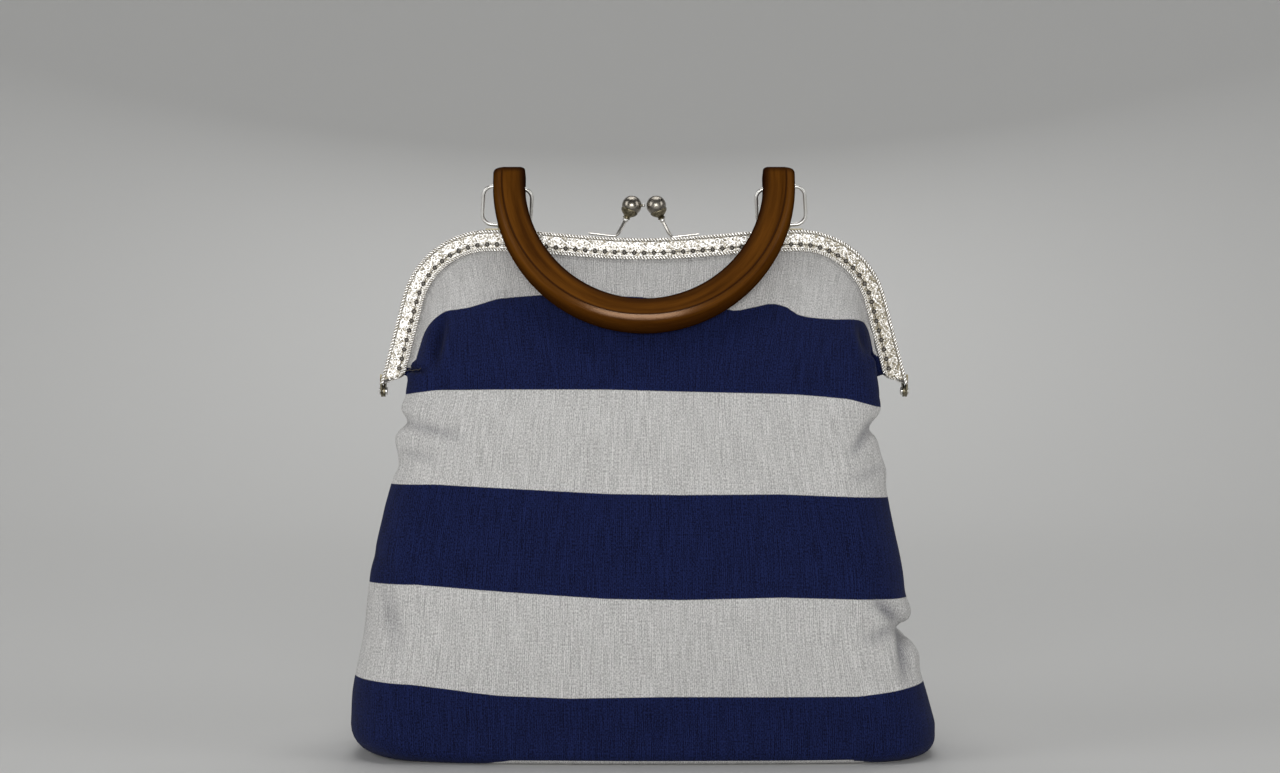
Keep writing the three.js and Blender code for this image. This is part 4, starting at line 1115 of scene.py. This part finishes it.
# The wire rings: nickel-plated wire bent to a rounded rectangle and butted, the lower bar turning in the
# lug and the upper bar through the handle's leg. They lean forward under the handle's weight, splayed at
# the foot.
WIRE_RADIUS = 0.95
WIRE_SIDES = 20
RING_WIDTH = 24.0
RING_HEIGHT = 19.5
RING_CORNER = 5.0
RING_LEAN = math.radians(20)
RING_SPLAY = math.radians(4.6)


def tipped(points, angle, place):
    """Points turned about the X axis and then moved to a place"""
    points = np.asarray(points, float)
    c, s = math.cos(angle), math.sin(angle)
    turned_y = points[:, 1] * c - points[:, 2] * s
    turned_z = points[:, 1] * s + points[:, 2] * c
    return np.stack([points[:, 0], turned_y, turned_z], -1) + np.asarray(place)


def arc_points(middle, reach, start, end, steps):
    """Points of an arc in a plane, with the angles in degrees"""
    turn = np.radians(np.linspace(start, end, steps))
    return np.stack([middle[0] + reach[0] * np.cos(turn), middle[1] + reach[1] * np.sin(turn)], -1)


lug_z = float(frame_top(LUG_X)) + LUG_RISE
half_x = RING_WIDTH / 2 - RING_CORNER
half_z = RING_HEIGHT / 2 - RING_CORNER
wire_turn = np.linspace(0, 2 * np.pi, WIRE_SIDES, endpoint=False)
wire_outline = np.stack([np.cos(wire_turn), np.sin(wire_turn)], -1) * WIRE_RADIUS
for ring_name, side in (("ring_left", -1), ("ring_right", 1)):
    corners = []
    for way_x, way_z, start in ((1, -1, -90), (1, 1, 0), (-1, 1, 90), (-1, -1, 180)):
        middle = (way_x * half_x, way_z * half_z + RING_HEIGHT / 2)
        corners.append(arc_points(middle, (RING_CORNER, RING_CORNER), start, start + 90, 13))
    wire_path = np.insert(np.concatenate(corners), 1, 0.0, axis=1)
    points, faces = swept(wire_path, wire_outline, closed=True)
    splay_c, splay_s = math.cos(RING_SPLAY), -side * math.sin(RING_SPLAY)
    splayed_x = points[:, 0] * splay_c + points[:, 2] * splay_s
    splayed_z = points[:, 2] * splay_c - points[:, 0] * splay_s
    points = np.stack([splayed_x, points[:, 1], splayed_z], -1)
    points = tipped(points, RING_LEAN, (side * LUG_X, -LUG_DEPTH, lug_z))
    ring = object_from(ring_name + "_wire", points, faces, [bright.material])
    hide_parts(ring_name)
    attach(ring, "rings")

# The handle: a U of hardwood, cut and turned on its outer side to a round roll beside a flat front, bored
# across both legs for the rings, stained dark brown and varnished.
HANDLE_RADIUS = 66.8
HANDLE_ABOVE = 8.6
HANDLE_BOW_TOP = 2.5
HANDLE_BOW_DEPTH = 74.4
HANDLE_TILT = math.radians(24.5)
HANDLE_HOLE = 2.2
HANDLE_BORE_REACH = 14.0
HANDLE_END_ROUND = 1.3
HANDLE_HALF_WIDTH = 8.0
HANDLE_HALF_THICKNESS = 6.75
HANDLE_MEAN_HALF = 7.0
ROLL_MIDDLE = 0.9
ROLL_SIDE = -0.5
ROLL_PULL = 2.3
BACK_ROUND = 3.2
FRONT_ROUND = 2.2
FRONT_SINK = 0.4
CREASE_IN_BOW = 1.2
CREASE_IN_LEG = 3.4
WOOD_LIGHT = (0.142, 0.050, 0.0058, 1.0)
WOOD_DARK = (0.058, 0.0185, 0.0024, 1.0)
# Painted shade: the colours of the rounded edges and ends, of the wood under the roll and of the crease
WOOD_EDGE_SHADE = (0.016, 0.005, 0.002, 1.0)
WOOD_SHADE_UNDER_ROLL = (0.018, 0.0055, 0.001, 1.0)
WOOD_CREASE_SHADE = (0.042, 0.013, 0.0019, 1.0)
VARNISH_TINT = (1.0, 0.66, 0.44, 1.0)
BOW_TO_LEG = (80.0, 130.0)


def wood_section(crease):
    """Section of the wood, outwards from the middle of the U and back from its middle plane: the flat
    front up to the scored crease, the roll on the outer side, the flat back and the inner side"""
    width, thickness = HANDLE_HALF_WIDTH, HANDLE_HALF_THICKNESS
    front = FRONT_SINK - thickness
    in_leg = (crease - CREASE_IN_BOW) / (CREASE_IN_LEG - CREASE_IN_BOW)
    lean = math.radians(24 - 12 * in_leg)
    roll_from = np.array([crease + 0.14, front + 0.2])
    roll_along = roll_from + ROLL_PULL * np.array([math.cos(lean), math.sin(lean)])
    roll_into = np.array([width, -3.4 - 1.4 * in_leg])
    roll_to = np.array([width, ROLL_SIDE])
    return np.concatenate([
        np.stack([np.linspace(-5.6, crease - 0.5, 9), np.full(9, front)], -1),
        [(crease - 0.25, front + 0.06), (crease - 0.1, front + 0.16), (crease, front + 0.3)],
        curve_between(roll_from, roll_along, roll_into, roll_to, np.linspace(0, 1, 20)[:, None]),
        arc_points((ROLL_MIDDLE, ROLL_SIDE), (width - ROLL_MIDDLE, thickness - ROLL_SIDE), 5, 90, 18),
        np.stack([np.linspace(0.0, -4.6, 5), np.full(5, thickness)], -1),
        arc_points((BACK_ROUND - width, thickness - BACK_ROUND), (BACK_ROUND, BACK_ROUND), 99, 180, 9),
        np.stack([np.full(5, -width), np.linspace(3.0, -3.9, 5)], -1),
        arc_points((FRONT_ROUND - width, front + FRONT_ROUND), (FRONT_ROUND, FRONT_ROUND), 184, 266, 8),
    ])


end_turn = np.linspace(0, math.pi / 2, 6)
end_z = HANDLE_ABOVE - HANDLE_END_ROUND * (1 - np.sin(end_turn))[::-1]
leg_z = np.concatenate([end_z, np.linspace(HANDLE_ABOVE - HANDLE_END_ROUND, HANDLE_BOW_TOP, 6)[1:]])
leg_turn = np.full(len(leg_z), math.pi)
bow_turn = np.linspace(math.pi, 2 * math.pi, 181)[1:-1]
wood_path = np.concatenate([
    np.stack([np.full(len(leg_z), -HANDLE_RADIUS), leg_z], -1),
    np.stack([HANDLE_RADIUS * np.cos(bow_turn), HANDLE_BOW_TOP + HANDLE_BOW_DEPTH * np.sin(bow_turn)], -1),
    np.stack([np.full(len(leg_z), HANDLE_RADIUS), leg_z[::-1]], -1)])
wood_path = np.insert(wood_path, 1, 0.0, axis=1)
from_bottom = np.abs(np.concatenate([leg_turn, bow_turn, leg_turn + math.pi]) - 1.5 * math.pi)
crease = CREASE_IN_BOW + (CREASE_IN_LEG - CREASE_IN_BOW) * from_bottom / (math.pi / 2)
from_end = np.minimum(np.abs(wood_path[:, 2] - HANDLE_ABOVE), HANDLE_END_ROUND)
from_end = np.where(wood_path[:, 2] > 0, from_end, HANDLE_END_ROUND)
draw_in = HANDLE_END_ROUND - np.sqrt(np.maximum(HANDLE_END_ROUND**2 - (HANDLE_END_ROUND - from_end) ** 2, 0))
outline = np.stack([wood_section(place) for place in crease])
outline = outline * (1 - draw_in / HANDLE_MEAN_HALF)[:, None, None]
points, faces = swept(wood_path, outline)
ring_rise = RING_HEIGHT * math.cos(RING_SPLAY)
pivot_y = -LUG_DEPTH - ring_rise * math.sin(RING_LEAN)
pivot_z = lug_z + ring_rise * math.cos(RING_LEAN)

# Stain over the grain, with painted shade darkening the rounded inner edge, under the roll, the rounded ends
# and the crease
varnish = Paint("varnished_wood")
grain_along, grain_out, grain_back = varnish.vector("grain")
past_crease = varnish.number("past_crease")
from_middle = varnish.math("ABSOLUTE", grain_along)


def wood_noise(along, across, detail):
    """Noise that is drawn out along the grain"""
    scaled = [varnish.math("DIVIDE", grain_along, along)]
    for part in (grain_out, grain_back):
        scaled.append(varnish.math("DIVIDE", part, across))
    return varnish.noise(*scaled, detail)


def bow_to_leg(in_bow, in_leg):
    """A number that runs from its value in the bow to that in the legs"""
    return varnish.spread(from_middle, *BOW_TO_LEG, in_bow, in_leg)


growth = varnish.spread(wood_noise(along=55.0, across=3.2, detail=4.0), 0.3, 0.7)
pores = wood_noise(along=6.0, across=0.35, detail=2.0)
stain = varnish.math("MULTIPLY_ADD", varnish.math("SUBTRACT", pores, 0.5), 0.5, growth)
wood_half_run = float(np.linalg.norm(np.diff(wood_path, axis=0), axis=1).sum() / 2)
# Painted shade: darker towards the rounded inner edge, under the roll, towards the rounded ends and in the
# crease
clear_of_edge_shade = varnish.spread(grain_out, -8.2, bow_to_leg(-3.5, -1.4), smooth=True)
shade_under_roll = varnish.spread(past_crease, bow_to_leg(2.4, 1.2), bow_to_leg(6.2, 3.8), 0.0, 0.8, smooth=True)
shade_at_end = varnish.spread(from_middle, wood_half_run - 4.0, wood_half_run - 0.8, 0.0, 0.85, smooth=True)
clear_of_crease_shade = varnish.spread(varnish.math("ABSOLUTE", past_crease), 0.1, 0.9, smooth=True)
wood_colour = varnish.blend(stain, WOOD_DARK, WOOD_LIGHT)
wood_colour = varnish.blend(clear_of_edge_shade, WOOD_EDGE_SHADE, wood_colour)
wood_colour = varnish.blend(shade_under_roll, wood_colour, WOOD_SHADE_UNDER_ROLL)
wood_colour = varnish.blend(shade_at_end, wood_colour, WOOD_EDGE_SHADE)
wood_colour = varnish.blend(clear_of_crease_shade, WOOD_CREASE_SHADE, wood_colour)
# The varnish shines on the roll by the crease, most of all at the bottom of the bow
shine = varnish.spread(past_crease, -0.3, 0.4, 0.12, 1.0)
for limit in (
        varnish.spread(past_crease, 0.9, 3.4, 1.0, 0.0, smooth=True),
        varnish.spread(grain_out, -7.0, -5.5),
        varnish.spread(from_middle, 55.0, 115.0, 0.5, 0.1)):
    shine = varnish.math("MULTIPLY", shine, limit)
varnish.dress({
    "Base Color": wood_colour,
    "Roughness": varnish.spread(shine, 0.03, 0.2, 0.5, 0.21),
    "Specular IOR Level": shine,
    "Specular Tint": VARNISH_TINT,
})
varnish.bump(pores, 0.12, 0.0002)

handle = object_from(
    "varnished_handle", tipped(points, -HANDLE_TILT, (0, pivot_y, pivot_z)), faces, [varnish.material])
reach = HANDLE_BORE_REACH
bore = [(0.0, -reach), (HANDLE_HOLE, -reach), (HANDLE_HOLE, reach), (0.0, reach)]
bore_parts = []
for side in (-1, 1):
    bore_parts.append((turned(bore, (side * HANDLE_RADIUS, pivot_y, pivot_z), (1, 0, 0), 24), 0, 0.0))
bores, _ = piece_from("handle_bores", bore_parts, [varnish])
clean_mesh(bores)
cut = handle.modifiers.new("bores", "BOOLEAN")
cut.object = bores
cut.solver = "EXACT"
bpy.context.view_layer.update()
bored = bpy.data.meshes.new_from_object(handle.evaluated_get(bpy.context.evaluated_depsgraph_get()))
handle.modifiers.clear()
handle.data = bored
bpy.data.objects.remove(bores)

# How far the wood has run along the U, and how far each point lies outwards and back in its section
wood_points = np.zeros(len(bored.vertices) * 3)
bored.vertices.foreach_get("co", wood_points)
wood_points = wood_points.reshape(-1, 3) / MM - (0, pivot_y, pivot_z)
wood_points = tipped(wood_points, HANDLE_TILT, (0, 0, 0))
path_step = np.gradient(wood_path, axis=0)
path_run = np.cumsum(np.linalg.norm(path_step, axis=1))
path_run = path_run - path_run[len(path_run) // 2]
path_out = np.stack([path_step[:, 2], -path_step[:, 0]], -1)
path_out /= np.linalg.norm(path_out, axis=1, keepdims=True)
from_path = wood_points[:, None, ::2] - wood_path[None, :, ::2]
nearest = np.argmin((from_path**2).sum(axis=-1), axis=1)
wood_out = (from_path[np.arange(len(nearest)), nearest] * path_out[nearest]).sum(axis=-1)
keep_numbers(handle, "grain", np.stack([path_run[nearest], wood_out, wood_points[:, 1]], -1))
keep_numbers(handle, "past_crease", wood_out - crease[nearest])
handle.data.polygons.foreach_set("use_smooth", [True] * len(handle.data.polygons))
handle.data.set_sharp_from_angle(angle=math.radians(38))
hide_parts("handle")
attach(handle, "handle")
